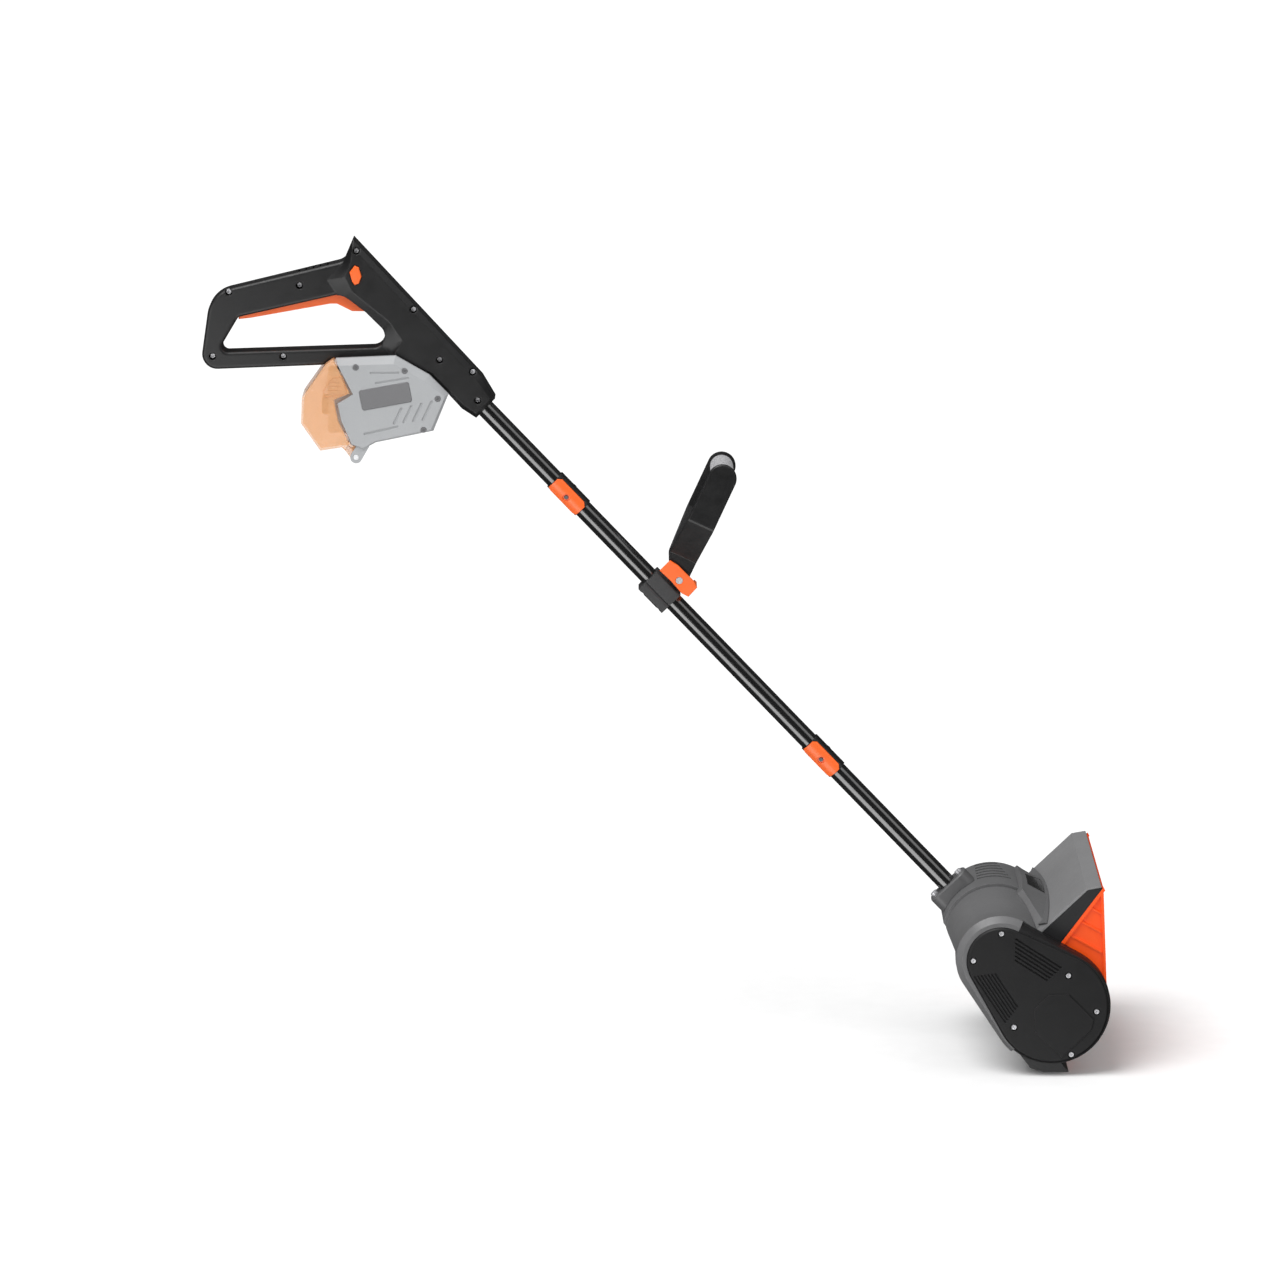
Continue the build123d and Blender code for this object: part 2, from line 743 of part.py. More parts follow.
with BuildPart() as saddle_cover:
    add(saddle_block.part)
    with BuildSketch(plate_plane(0.3)):
        with BuildLine():
            ThreePointArc((-148, 62.7), (0, 74.7), (148, 62.7))
            Polyline((148, 62.7), (120, 50), (-120, 50), (-148, 62.7))
        make_face()
    extrude(amount=-saddle_skin)
    add(barrel_block(65.1, -45.1, 86), mode=Mode.SUBTRACT)
    add(neck_form(0.1), mode=Mode.SUBTRACT)
    add(scoop_envelope(151), mode=Mode.SUBTRACT)
    add(label_pocket.part, mode=Mode.SUBTRACT)

# Collar round the foot of the tube and its two bolts
collar_end = 79.5
with BuildPart() as socket_collar:
    with BuildSketch(tube_section(52)):
        RectangleRounded(34, 55, 12)
    extrude(amount=collar_end - 52)
    chamfer(socket_collar.faces().sort_by(Axis(origin=(0, 0, 0), direction=tube_direction))[-1].edges(), 1.6)
    tube_bore_cut(40, 60, socket_bore)
    with BuildSketch(tube_section(40)):
        with Locations((0, bolt_reach), (0, -bolt_reach)):
            Circle(2.6)
    extrude(amount=60, mode=Mode.SUBTRACT)
    add(barrel_block(65.1, -45.1, 86), mode=Mode.SUBTRACT)

with BuildPart() as socket_bolts:
    with BuildSketch(tube_section(50)):
        with Locations((0, bolt_reach), (0, -bolt_reach)):
            Circle(2.5)
    extrude(amount=collar_end - 50)
    with BuildSketch(tube_section(collar_end)):
        with Locations((0, bolt_reach), (0, -bolt_reach)):
            Circle(4.3)
            RegularPolygon(2.4, 6, mode=Mode.SUBTRACT)
    extrude(amount=3.5)

# Tubes: three lengths butted inside the two couplings, each butt carried by an inner sleeve
tube_start = 40.0
lower_butt = 285.0
upper_butt = 752.0
tube_end = 950.0
sleeve_length = 70.0
clip_angle = math.radians(clip_twist)
clip_direction = Vector(0, -math.cos(clip_angle), 0) + tube_normal * math.sin(clip_angle)
cable_direction = Vector(0, math.sin(clip_angle), 0) + tube_normal * -math.cos(clip_angle)
rear_screw_station = 897.9
rear_screw_rise = 2.4


def clip_plane(station):
    """A plane along the tube's axis that faces the way a coupling's bolt points. Its x runs up the tube."""
    origin = Vector(tube_root[0], 0, tube_root[1]) + tube_direction * station
    return Plane(origin=origin, x_dir=tube_direction, z_dir=clip_direction)


def hollow_round(start, length, outer_radius, inner_radius):
    """A round pipe along the tube's axis."""
    with BuildSketch(tube_section(start)) as section:
        Circle(outer_radius)
        Circle(inner_radius, mode=Mode.SUBTRACT)
    extrude(section.sketch, amount=length)


def bolt_hole(station, radius):
    """Cut the hole of a coupling's bolt."""
    with BuildSketch(clip_plane(station)) as section:
        Circle(radius)
    extrude(section.sketch, amount=25, both=True, mode=Mode.SUBTRACT)


with BuildPart() as lower_tube:
    hollow_round(tube_start, lower_butt - tube_start, tube_radius, tube_bore)

with BuildPart() as middle_tube:
    hollow_round(lower_butt + 0.05, upper_butt - lower_butt - 0.05, tube_radius, tube_bore)
    bolt_hole(lower_joint, 2.6)
    bolt_hole(upper_joint, 2.6)

with BuildPart() as upper_tube:
    hollow_round(upper_butt + 0.05, tube_end - upper_butt - 0.05, tube_radius, tube_bore)
    with BuildSketch(tube_side_plane(-20)):
        with Locations((rear_screw_station, rear_screw_rise)):
            Circle(1.9)
    extrude(amount=40, mode=Mode.SUBTRACT)

with BuildPart() as joint_sleeves:
    for butt in (lower_butt, upper_butt):
        hollow_round(butt - sleeve_length / 2, sleeve_length, tube_bore - 0.05, 7.6)
    bolt_hole(lower_joint, 2.6)
    bolt_hole(upper_joint, 2.6)

# Couplings: a black sleeve with a window, an orange insert in the window, and a bolt
insert_outline = [(-23.5, -7.6), (-19, -10.4), (19, -10.4), (23.5, -7.6),
                  (23.5, 7.6), (19, 10.4), (-19, 10.4), (-23.5, 7.6)]


def coupling_insert(station):
    """The orange insert of a coupling."""
    with BuildPart() as insert:
        hollow_round(station - 23.4, 46.8, 13.4, socket_bore)
        with BuildSketch(clip_plane(station)):
            Polygon(*insert_outline, align=None)
        extrude(amount=18, mode=Mode.INTERSECT)
        bolt_hole(station, 2.6)
        with BuildSketch(clip_plane(station).offset(11.5)):
            Circle(4.5)
        extrude(amount=6, mode=Mode.SUBTRACT)
    return insert.part


def coupling_sleeve(station):
    """The black sleeve of a coupling."""
    with BuildPart() as sleeve:
        hollow_round(station - 24, 48, 12.6, socket_bore)
        with BuildSketch(clip_plane(station).offset(-8)):
            Circle(6.5)
        extrude(amount=-9)
        tube_bore_cut(station - 24, 48, socket_bore)
        with BuildSketch(clip_plane(station)):
            Polygon(*insert_outline, align=None)
            offset(amount=0.15, kind=Kind.INTERSECTION)
        extrude(amount=18, mode=Mode.SUBTRACT)
        bolt_hole(station, 2.6)
        with BuildSketch(clip_plane(station).offset(-14)):
            Circle(4.4)
        extrude(amount=-6, mode=Mode.SUBTRACT)
    return sleeve.part


with BuildPart() as coupling_inserts:
    add(coupling_insert(lower_joint))
    add(coupling_insert(upper_joint))

with BuildPart() as coupling_sleeves:
    add(coupling_sleeve(lower_joint))
    add(coupling_sleeve(upper_joint))

with BuildPart() as coupling_bolts:
    for station in (lower_joint, upper_joint):
        with BuildSketch(clip_plane(station).offset(-16.4)):
            Circle(2.5)
        extrude(amount=29.1)
        with BuildSketch(clip_plane(station).offset(-14.1)):
            RegularPolygon(4.2, 6)
        extrude(amount=-2.8)

with BuildPart() as power_cable:
    with BuildSketch(tube_section(35.5)):
        with Locations((4.9 * math.sin(clip_angle), -4.9 * math.cos(clip_angle))):
            Circle(2.2)
    extrude(amount=919)

# Sliding clamp for the front handle
clamp_start = 560.0
clamp_length = 40.0
pivot_station = 574.6
pivot_rise = 25.2
clamp_bore = tube_radius + running_gap
clamp_screw_points = [(567, 14), (567, -14), (593, 14), (593, -14)]


def tube_top_plane(rise):
    """The plane along the tube at a rise above its axis. Its x runs up the tube, its y to the near side."""
    origin = Vector(tube_root[0], 0, tube_root[1]) + tube_normal * rise
    return Plane(origin=origin, x_dir=tube_direction, z_dir=tube_normal)


def clamp_holes(rise, depth, radius):
    """Cut the round holes of the clamp's screws downwards from a rise."""
    with BuildSketch(tube_top_plane(rise)) as section:
        with Locations(*clamp_screw_points):
            Circle(radius)
    extrude(section.sketch, amount=-depth, mode=Mode.SUBTRACT)


with BuildPart() as clamp_lower:
    with BuildSketch(tube_section(clamp_start)):
        Polygon((-15.5, -5.1), (-18.2, -8), (-18.2, -16), (-16, -18), (16, -18), (18.2, -16), (18.2, -8),
                (15.5, -5.1), align=None)
    extrude(amount=clamp_length)
    tube_bore_cut(clamp_start, clamp_length, clamp_bore)
    clamp_holes(0, 30, 1.65)
    clamp_holes(-14.5, 10, 3.0)

with BuildPart() as clamp_upper:
    with BuildSketch(tube_section(clamp_start)):
        Polygon((-17, -5), (-17, 12), (-15, 13.5), (15, 13.5), (17, 12), (17, -5), align=None)
    extrude(amount=clamp_length)
    with BuildSketch(tube_side_plane(-8.4)):
        with Locations((pivot_station, pivot_rise)):
            Circle(9.0)
        with Locations((pivot_station, (pivot_rise + 12) / 2)):
            Rectangle(18.0, pivot_rise - 12)
    extrude(amount=16.8)
    with BuildSketch(tube_side_plane(-9)):
        with Locations((pivot_station, pivot_rise)):
            Circle(3.05)
    extrude(amount=18, mode=Mode.SUBTRACT)
    tube_bore_cut(clamp_start, clamp_length, clamp_bore)
    clamp_holes(8.2, 30, 1.65)

with BuildPart() as clamp_screws:
    with BuildSketch(tube_top_plane(8)):
        with Locations(*clamp_screw_points):
            Circle(1.6)
    extrude(amount=-23)
    with BuildSketch(tube_top_plane(-14.6)):
        with Locations(*clamp_screw_points):
            Circle(2.8)
            RegularPolygon(1.4, 6, mode=Mode.SUBTRACT)
    extrude(amount=-2.8)

# Front handle: a flat sided loop on the clamp's pivot, with a sleeve on its crossbar
loop_tilt = math.radians(65.3)
loop_up = Vector(math.cos(loop_tilt), 0, math.sin(loop_tilt))
loop_front = Vector(math.sin(loop_tilt), 0, -math.cos(loop_tilt))
pivot_foot = Vector(tube_root[0], 0, tube_root[1]) + tube_direction * pivot_station
pivot_point = pivot_foot + tube_normal * pivot_rise
loop_plane = Plane(origin=pivot_point, x_dir=(0, 1, 0), z_dir=loop_front)
crossbar_height = 137.5
crossbar_shift = -7.2
arm_profile = [(8.8, -10), (8.8, 27), (44, 78), (44, 157), (50, 157), (50, 76), (17.3, 27), (17.3, -10)]
front_grip_radius = 13.8


def loop_point(height, shift):
    """A point of the front handle in the side view, from its height above the pivot and its shift forward."""
    spot = pivot_point + loop_up * height + loop_front * shift
    return (spot.X, spot.Z)


with BuildPart() as front_handle:
    for side in (-1, 1):
        with BuildSketch(loop_plane):
            Polygon(*[(side * across, height) for across, height in arm_profile], align=None)
        extrude(amount=30, both=True)
    with BuildSketch(side_plane(60)):
        with Locations(loop_point(0, 0)):
            Circle(9.5)
        with Locations(loop_point(26, crossbar_shift), loop_point(crossbar_height, crossbar_shift)):
            Circle(17.0)
        make_hull()
    extrude(amount=120, mode=Mode.INTERSECT)
    chamfer(front_handle.faces().sort_by(Axis.Y)[0].edges(), 1.2)
    chamfer(front_handle.faces().sort_by(Axis.Y)[-1].edges(), 1.2)
    with BuildSketch(side_plane(46)):
        with Locations(loop_point(crossbar_height, crossbar_shift)):
            Circle(10.0)
    extrude(amount=92)
    with BuildSketch(side_plane(30)):
        with Locations(loop_point(0, 0)):
            Circle(3.05)
    extrude(amount=60, mode=Mode.SUBTRACT)

with BuildPart() as front_grip_sleeve:
    with BuildSketch(side_plane(43.8)):
        with Locations(loop_point(crossbar_height, crossbar_shift)):
            Circle(front_grip_radius)
    extrude(amount=87.6)
    chamfer(front_grip_sleeve.edges(), 1.0)
    with BuildSketch(side_plane(43.8)):
        with Locations(loop_point(crossbar_height, crossbar_shift)):
            Circle(10.05)
    extrude(amount=87.6, mode=Mode.SUBTRACT)

# Lever that locks the front handle, on the same pivot
cheek_outline = [(599.9, 34.2), (599.4, 16.7), (581.3, 17.6), (561.2, 16.6), (552.8, 19.5), (553.7, 34.9),
                 (562.5, 37.3), (588.7, 36.9)]
cheek_inner = 17.7
cheek_outer = 21.6

with BuildPart() as lock_lever:
    with BuildSketch(tube_side_plane(-cheek_outer)):
        Polygon(*cheek_outline, align=None)
    extrude(amount=cheek_outer - cheek_inner)
    chamfer(lock_lever.faces().sort_by(Axis.Y)[0].edges(), 0.8)
    with BuildSketch(tube_side_plane(-cheek_inner - 0.5)):
        Polygon((552.9, 20), (557.5, 20), (557.5, 34.5), (553.7, 34.5), align=None)
    extrude(amount=2 * cheek_inner + 1)
    with BuildSketch(tube_side_plane(-30)):
        with Locations((pivot_station, pivot_rise)):
            Circle(3.05)
    extrude(amount=60, mode=Mode.SUBTRACT)
    for low in (-cheek_outer - 1, 19.5):
        with BuildSketch(tube_side_plane(low)):
            with Locations((pivot_station, pivot_rise)):
                Circle(4.5)
        extrude(amount=cheek_outer + 1 - 19.5, mode=Mode.SUBTRACT)

with BuildPart() as handle_pivot_bolt:
    with BuildSketch(tube_side_plane(-21)):
        with Locations((pivot_station, pivot_rise)):
            Circle(3.0)
    extrude(amount=42)
    for low in (-21, 19.8):
        with BuildSketch(tube_side_plane(low)):
            with Locations((pivot_station, pivot_rise)):
                Circle(4.2)
        extrude(amount=1.2)
    with BuildSketch(tube_side_plane(-21)):
        with Locations((pivot_station, pivot_rise)):
            RegularPolygon(1.9, 6)
    extrude(amount=0.8, mode=Mode.SUBTRACT)

# Rear handle: a closed hand loop that grows into a block with the socket for the tube, in two halves
loop_half = 17.0
block_half = 24.5
skin = 3.0
loop_outline = [(-832, 983), (-834.5, 957.5), (-999, 917.5), (-1012.5, 825.8), (-864.5, 831.6), (-856, 838.5),
                (-765, 842.1), (-765, 880), (-790, 935)]
loop_radii = [5, 18, 36, 18, 8, 8, 8, 8, 8]
opening_outline = [(-966, 889), (-991, 847), (-774, 854), (-815, 896), (-842.5, 917)]
opening_radii = [6, 7, 14, 6, 20]
block_base = [(-829, 982.5), (-676.5, 817), (-661.5, 791.5), (-684, 768.3), (-701, 779.5), (-737, 819),
              (-784, 842.3), (-795, 855), (-795, 875), (-846, 912), (-860, 934), (-842, 952)]
block_flat = [(-829.5, 974), (-683, 814.5), (-667.5, 791.5), (-684, 774.5), (-699, 785), (-735.5, 823),
              (-781, 845), (-771, 862), (-787, 885), (-831, 921), (-838.5, 938), (-831.5, 957)]
block_cavity = [(-824, 961), (-707, 834), (-722, 816), (-735, 827), (-777, 848), (-768, 862), (-784, 886),
                (-826, 922), (-833, 938)]
loop_screw_points = [(-977, 919), (-893, 927), (-997, 842), (-913, 842)]
block_screw_points = [(-825, 969), (-758, 899), (-727, 839), (-688, 824), (-682, 790)]
boss_points = [(-758, 899), (-727, 839)]
screw_seat_depth = 8.5
trigger_pin_point = (-958, 898)
trigger_slot_half = 9.3
button_outline = [(-827, 952), (-822, 950), (-819, 939), (-822, 931), (-827, 929), (-830, 933), (-833, 944)]

with BuildSketch() as opening_section:
    with BuildLine():
        FilletPolyline(*opening_outline, radius=opening_radii, close=True)
    make_face()

with BuildSketch() as loop_section:
    with BuildLine():
        FilletPolyline(*loop_outline, radius=loop_radii, close=True)
    make_face()
    add(opening_section.sketch_local, mode=Mode.SUBTRACT)

with BuildSketch() as loop_cavity:
    add(loop_section.sketch_local)
    offset(amount=-skin - 0.5, mode=Mode.REPLACE)

with BuildPart() as handle_body:
    with BuildSketch(side_plane(loop_half)):
        add(loop_section.sketch_local)
    extrude(amount=2 * loop_half)
    fillet(handle_body.faces().sort_by(Axis.Y)[0].edges(), 4.0)
    fillet(handle_body.faces().sort_by(Axis.Y)[-1].edges(), 4.0)
    with BuildSketch(side_plane(loop_half)):
        Polygon(*block_base, align=None)
    extrude(amount=2 * loop_half)
    for side in (-1, 1):
        with BuildSketch(side_plane(side * loop_half)):
            Polygon(*block_base, align=None)
        with BuildSketch(side_plane(side * block_half)):
            Polygon(*block_flat, align=None)
        loft(ruled=True)
    with BuildSketch(side_plane(30)):
        add(opening_section.sketch_local)
    extrude(amount=60, mode=Mode.SUBTRACT)


def side_slab(outline, side, near, far):
    """Extrude an outline between two distances from the middle plane, on one side of it."""
    low, high = sorted((side * near, side * far))
    with BuildSketch(side_plane(high)) as section:
        add(outline)
    return extrude(section.sketch, amount=high - low, mode=Mode.PRIVATE)


def rounds(points, radius):
    """Sketch of equal circles in the side view."""
    with BuildSketch() as section:
        with Locations(*points):
            Circle(radius)
    return section.sketch_local


def panel(points, growth=0.0):
    """Sketch of a polygon in the side view, grown by a distance."""
    with BuildSketch() as section:
        Polygon(*points, align=None)
        if growth > 0:
            offset(amount=growth, kind=Kind.INTERSECTION)
    return section.sketch_local


slot_outline = [(-968, 884), (-968, 901), (-962, 907), (-944, 907), (-856, 926.5), (-833, 928), (-804, 911),
                (-804, 893), (-829, 893)]
handle_ribs = [(-893 + 8.5 * step, 943.6 + 2.05 * step) for step in range(5)]


def handle_half(side):
    """One half of the rear handle. side is -1 for the near half and 1 for the far half."""
    with BuildPart() as half:
        add(handle_body.part)
        with Locations((-840, side * 30, 880)):
            Box(500, 60, 400, mode=Mode.INTERSECT)
        add(side_slab(loop_cavity.sketch_local, side, 0, loop_half - skin - 0.5), mode=Mode.SUBTRACT)
        add(side_slab(panel(block_cavity), side, 0, block_half - skin), mode=Mode.SUBTRACT)
        add(side_slab(rounds(loop_screw_points, 5.5), side, 0, loop_half - skin) & handle_body.part)
        add(side_slab(rounds(boss_points, 5.5), side, 0, block_half - skin + 0.5) & handle_body.part)
        add(side_slab(panel(slot_outline), side, 0, trigger_slot_half), mode=Mode.SUBTRACT)
        add(side_slab(rounds([trigger_pin_point], 4.6), side, trigger_slot_half + 0.1, loop_half - skin))
        add(side_slab(rounds([trigger_pin_point], 2.06), side, 0, 12.6), mode=Mode.SUBTRACT)
        add(side_slab(rounds([(-863, 937)], 3.0), side, 8.1, loop_half - skin))
        add(side_slab(panel(button_outline, 0.35), side, 0, 40), mode=Mode.SUBTRACT)
        tube_bore_cut(883, 75, socket_bore)
        if side < 0:
            loop_seat = loop_half - screw_seat_depth
            block_seat = block_half - screw_seat_depth
            add(side_slab(rounds(loop_screw_points, 4.2), side, loop_seat, 40), mode=Mode.SUBTRACT)
            add(side_slab(rounds(block_screw_points, 4.2), side, block_seat, 40), mode=Mode.SUBTRACT)
        add(side_slab(rounds(loop_screw_points + block_screw_points, 1.85), side, 0, 11 if side > 0 else 20),
            mode=Mode.SUBTRACT)
        for rib_start in handle_ribs:
            rib_plane = Plane(origin=(rib_start[0], 0, rib_start[1]), x_dir=(1, 0, 0), z_dir=(0, -1, 0))
            with BuildSketch(rib_plane):
                SlotOverall(13.0, 1.8, rotation=58)
            extrude(amount=11, both=True, mode=Mode.SUBTRACT)
    return half.part


with BuildPart() as handle_shell_near:
    add(handle_half(-1))

with BuildPart() as handle_shell_far:
    add(handle_half(1))
    board_posts = [(-764, 879.5), (-741, 854.5)]
    add(side_slab(rounds(board_posts, 2.0), 1, 7.7, block_half - skin + 0.5))

with BuildPart() as handle_screws:
    side_screws(loop_screw_points, screw_seat_depth - loop_half, 3.25, 2.4, 1.75, 18)
    side_screws(block_screw_points, screw_seat_depth - block_half, 3.25, 2.4, 1.75, 26)

with BuildPart() as controller_board:
    with BuildSketch(side_plane(7.6)):
        with Locations((-752.5, 867)):
            Rectangle(42, 16, rotation=-47.3)
    extrude(amount=1.6)
    with BuildSketch(side_plane(6)):
        with Locations((-760, 875), (-750, 864)):
            Rectangle(8, 8, rotation=-47.3)
    extrude(amount=3)

# Trigger, its pin and spring, the switch it presses and the lock button
trigger_outline = [(-966, 885.6), (-951, 887.3), (-857, 904.2), (-849, 904.2), (-831, 895.2), (-812, 895.0),
                   (-812, 903), (-835, 919.5), (-855, 918), (-945, 901.5), (-952, 903.5), (-960, 903.5),
                   (-965, 898)]
with BuildPart() as trigger:
    with BuildSketch(side_plane(9)):
        Polygon(*trigger_outline, align=None)
    extrude(amount=18)
    chamfer(trigger.faces().sort_by(Axis.Y)[0].edges(), 1.0)
    chamfer(trigger.faces().sort_by(Axis.Y)[-1].edges(), 1.0)
    with BuildSketch(side_plane(4.5)):
        with Locations(trigger_pin_point):
            Circle(4.4)
        with Locations((trigger_pin_point[0], trigger_pin_point[1] + 4)):
            Rectangle(8.8, 8)
    extrude(amount=9, mode=Mode.SUBTRACT)
    with BuildSketch(side_plane(10)):
        with Locations(trigger_pin_point):
            Circle(2.06)
    extrude(amount=20, mode=Mode.SUBTRACT)

with BuildPart() as trigger_pin:
    with BuildSketch(side_plane(12.5)):
        with Locations(trigger_pin_point):
            Circle(2.0)
    extrude(amount=25)

with BuildPart() as trigger_spring:
    with BuildLine():
        coil_start = (trigger_pin_point[0], -3.2, trigger_pin_point[1])
        coil = Helix(1.6, 6.4, 3.2, center=coil_start, direction=(0, 1, 0))
    with BuildSketch(Plane(origin=coil @ 0, z_dir=coil % 0)):
        Circle(0.45)
    sweep(path=coil, is_frenet=True)

press_direction = Vector(0.237, 0, -0.972).normalized()
switch_plane = Plane(origin=(-863, 0, 937), x_dir=(0, 1, 0), z_dir=press_direction)
plunger_radius = 2.5
with BuildPart() as switch_body:
    with BuildSketch(switch_plane.offset(-6.5)):
        Rectangle(16, 36)
    extrude(amount=13)
    with BuildSketch(switch_plane.offset(-4)):
        Circle(plunger_radius + 0.4)
    extrude(amount=12, mode=Mode.SUBTRACT)

with BuildPart() as switch_plunger:
    with BuildSketch(switch_plane.offset(3.5)):
        Circle(plunger_radius)
    extrude(amount=16)

with BuildPart() as lock_button:
    with BuildSketch(side_plane(27)):
        Polygon(*button_outline, align=None)
    extrude(amount=54)
    chamfer(lock_button.faces().sort_by(Axis.Y)[0].edges(), 1.0)
    chamfer(lock_button.faces().sort_by(Axis.Y)[-1].edges(), 1.0)

# Battery bay under the handle, in two halves, with a hinged hood over its open rear end
bay_half = 38.0
bay_shoulder = 30.0
bay_outline = [(-850, 842), (-779, 845), (-739, 822), (-716.5, 799), (-734.6, 755), (-803, 741), (-818, 733),
               (-833, 738), (-846, 768), (-850, 790), (-831.5, 800)]
bay_flat = [(-847, 834), (-781, 836), (-745, 815.5), (-720.5, 797), (-737, 757.5), (-803.5, 743.5),
            (-818, 735), (-831.5, 740), (-843.5, 768), (-847.5, 788), (-829.5, 799.5)]
bay_cavity = [(-845, 833), (-780, 835), (-744, 814.5), (-723, 796), (-739, 760), (-804, 746.5), (-822, 744),
              (-870, 744), (-870, 833)]
handle_keepout = [(-1020, 825.4), (-864.3, 831.3), (-855.8, 838.2), (-785, 841.2), (-737.3, 818.6),
                  (-701.3, 779.2), (-680, 760), (-600, 900), (-1020, 900)]
hinge_point = (-826.5, 723.7)
lug_inner = 20.0
lug_outer = 27.6
bay_screw_points = [(-826, 832), (-768, 828), (-729, 794.5), (-746, 757)]
bay_grooves = [((-809.5, 825.7), 0, 34.8), ((-803, 813.1), 9.5, 40.5), ((-817, 752), 13, 42)]
bay_groove_width = 2.2
plate_spot = (-791, 797.6)
plate_turn = 10.5


def slanted_slot(start, slope, length, width):
    """Sketch of a groove in the side view."""
    with BuildSketch() as section:
        with Locations(polar(start, length / 2, slope)):
            SlotOverall(length, width, rotation=slope)
    return section.sketch_local


def tilted_rectangle(spot, width, height, turn, corner):
    """Sketch of a rounded rectangle in the side view."""
    with BuildSketch() as section:
        with Locations(spot):
            RectangleRounded(width, height, corner, rotation=turn)
    return section.sketch_local


def bay_side_half(side):
    """One half of the battery bay. side is -1 for the near half and 1 for the far half."""
    with BuildPart() as half:
        add(side_slab(panel(bay_outline), side, 0, bay_shoulder))
        with BuildSketch(side_plane(side * bay_shoulder)):
            Polygon(*bay_outline, align=None)
        with BuildSketch(side_plane(side * bay_half)):
            Polygon(*bay_flat, align=None)
        loft(ruled=True)
        with BuildSketch() as eyelet:
            with Locations(hinge_point):
                Circle(7.0)
            with Locations((-822, 738), (-812, 741)):
                Circle(3.0)
            make_hull()
        add(side_slab(eyelet.sketch_local, side, lug_outer + 0.4, bay_half - 2))
        add(side_slab(panel(bay_cavity), side, 0, bay_half - skin), mode=Mode.SUBTRACT)
        add(side_slab(panel(handle_keepout), side, 0, block_half + 0.4), mode=Mode.SUBTRACT)
        add(side_slab(rounds([hinge_point], 8.0), side, 0, lug_outer + 0.4), mode=Mode.SUBTRACT)
        add(side_slab(rounds([hinge_point], 3.35), side, 0, 40), mode=Mode.SUBTRACT)
        add(side_slab(rounds(bay_screw_points, 3.7), side, bay_half - 1.6, 40), mode=Mode.SUBTRACT)
        add(side_slab(tilted_rectangle(plate_spot, 60.4, 24.4, plate_turn, 3), side, bay_half - 0.9, 40),
            mode=Mode.SUBTRACT)
        for start, slope, length in bay_grooves:
            groove = slanted_slot(start, slope, length, bay_groove_width)
            add(side_slab(groove, side, bay_half - 0.8, 40), mode=Mode.SUBTRACT)
        for step in range(4):
            groove = slanted_slot((-781.5 + 11.4 * step, 764 + 1.5 * step), 64, 22 + 1.5 * step, 2.6)
            add(side_slab(groove, side, bay_half - 0.8, 40), mode=Mode.SUBTRACT)
    return half.part


with BuildPart() as bay_shell_near:
    add(bay_side_half(-1))

with BuildPart() as bay_shell_far:
    add(bay_side_half(1))

with BuildPart() as bay_screws:
    for side in (-1, 1):
        add(side_slab(rounds(bay_screw_points, 3.3), side, bay_half - 1.5, bay_half - 0.2))
        for turn in (20, 110):
            for spot in bay_screw_points:
                cross = tilted_rectangle(spot, 3.6, 0.9, turn, 0.2)
                add(side_slab(cross, side, bay_half - 0.9, bay_half), mode=Mode.SUBTRACT)

with BuildPart() as name_plate:
    add(side_slab(tilted_rectangle(plate_spot, 60, 24, plate_turn, 2.8), -1, bay_half - 0.85, bay_half + 0.4))
    chamfer(name_plate.faces().sort_by(Axis.Y)[0].edges(), 0.3)

# Battery pack with its release button
pack_half = 29.0
pack_outline = [(-860, 824), (-781, 828), (-757, 812), (-757, 765), (-804, 752), (-860, 752)]
with BuildPart() as battery_pack:
    with BuildSketch(side_plane(pack_half)):
        Polygon(*pack_outline, align=None)
    extrude(amount=2 * pack_half)
    chamfer(battery_pack.edges().filter_by(Axis.Y, reverse=True), 2.0)
    pack_notch = panel([(-860, 826), (-857, 826), (-857, 750), (-860, 750)])
    add(side_slab(pack_notch, -1, 26, 40), mode=Mode.SUBTRACT)
    for low in (-22, -4, 14):
        with BuildSketch(side_plane(low + 8)):
            with Locations((-757, 788)):
                Rectangle(16, 14)
        extrude(amount=8, mode=Mode.SUBTRACT)

with BuildPart() as release_button:
    with BuildSketch(side_plane(12)):
        with Locations((-863.9, 782.7)):
            RectangleRounded(7.6, 20.5, 1.5)
    extrude(amount=24)
    chamfer(release_button.faces().sort_by(Axis.Y)[0].edges(), 0.8)

# Hood over the battery, on the hinge pin, with a ribbed press pad in each side
hood_skin = 2.2
hood_outline = [(-852.5, 841.5), (-862, 835), (-890.5, 795), (-891.5, 764.5), (-869, 732), (-843.5, 736),
                (-839, 732), (-834.5, 740.5), (-847.5, 768), (-851.5, 788), (-851.8, 793.4), (-833.5, 800.8)]
hood_cavity = [(-853.8, 838.5), (-861, 832.5), (-888, 793.8), (-889.1, 765.3), (-868, 734.8), (-843.5, 738.4),
               (-832, 738), (-800, 740), (-800, 838.5)]
hood_reach = 114.0
pad_outline = [(-863, 797), (-864, 804), (-854, 819), (-843, 820), (-837.5, 804), (-839.5, 799.5)]
pad_gap = 0.35

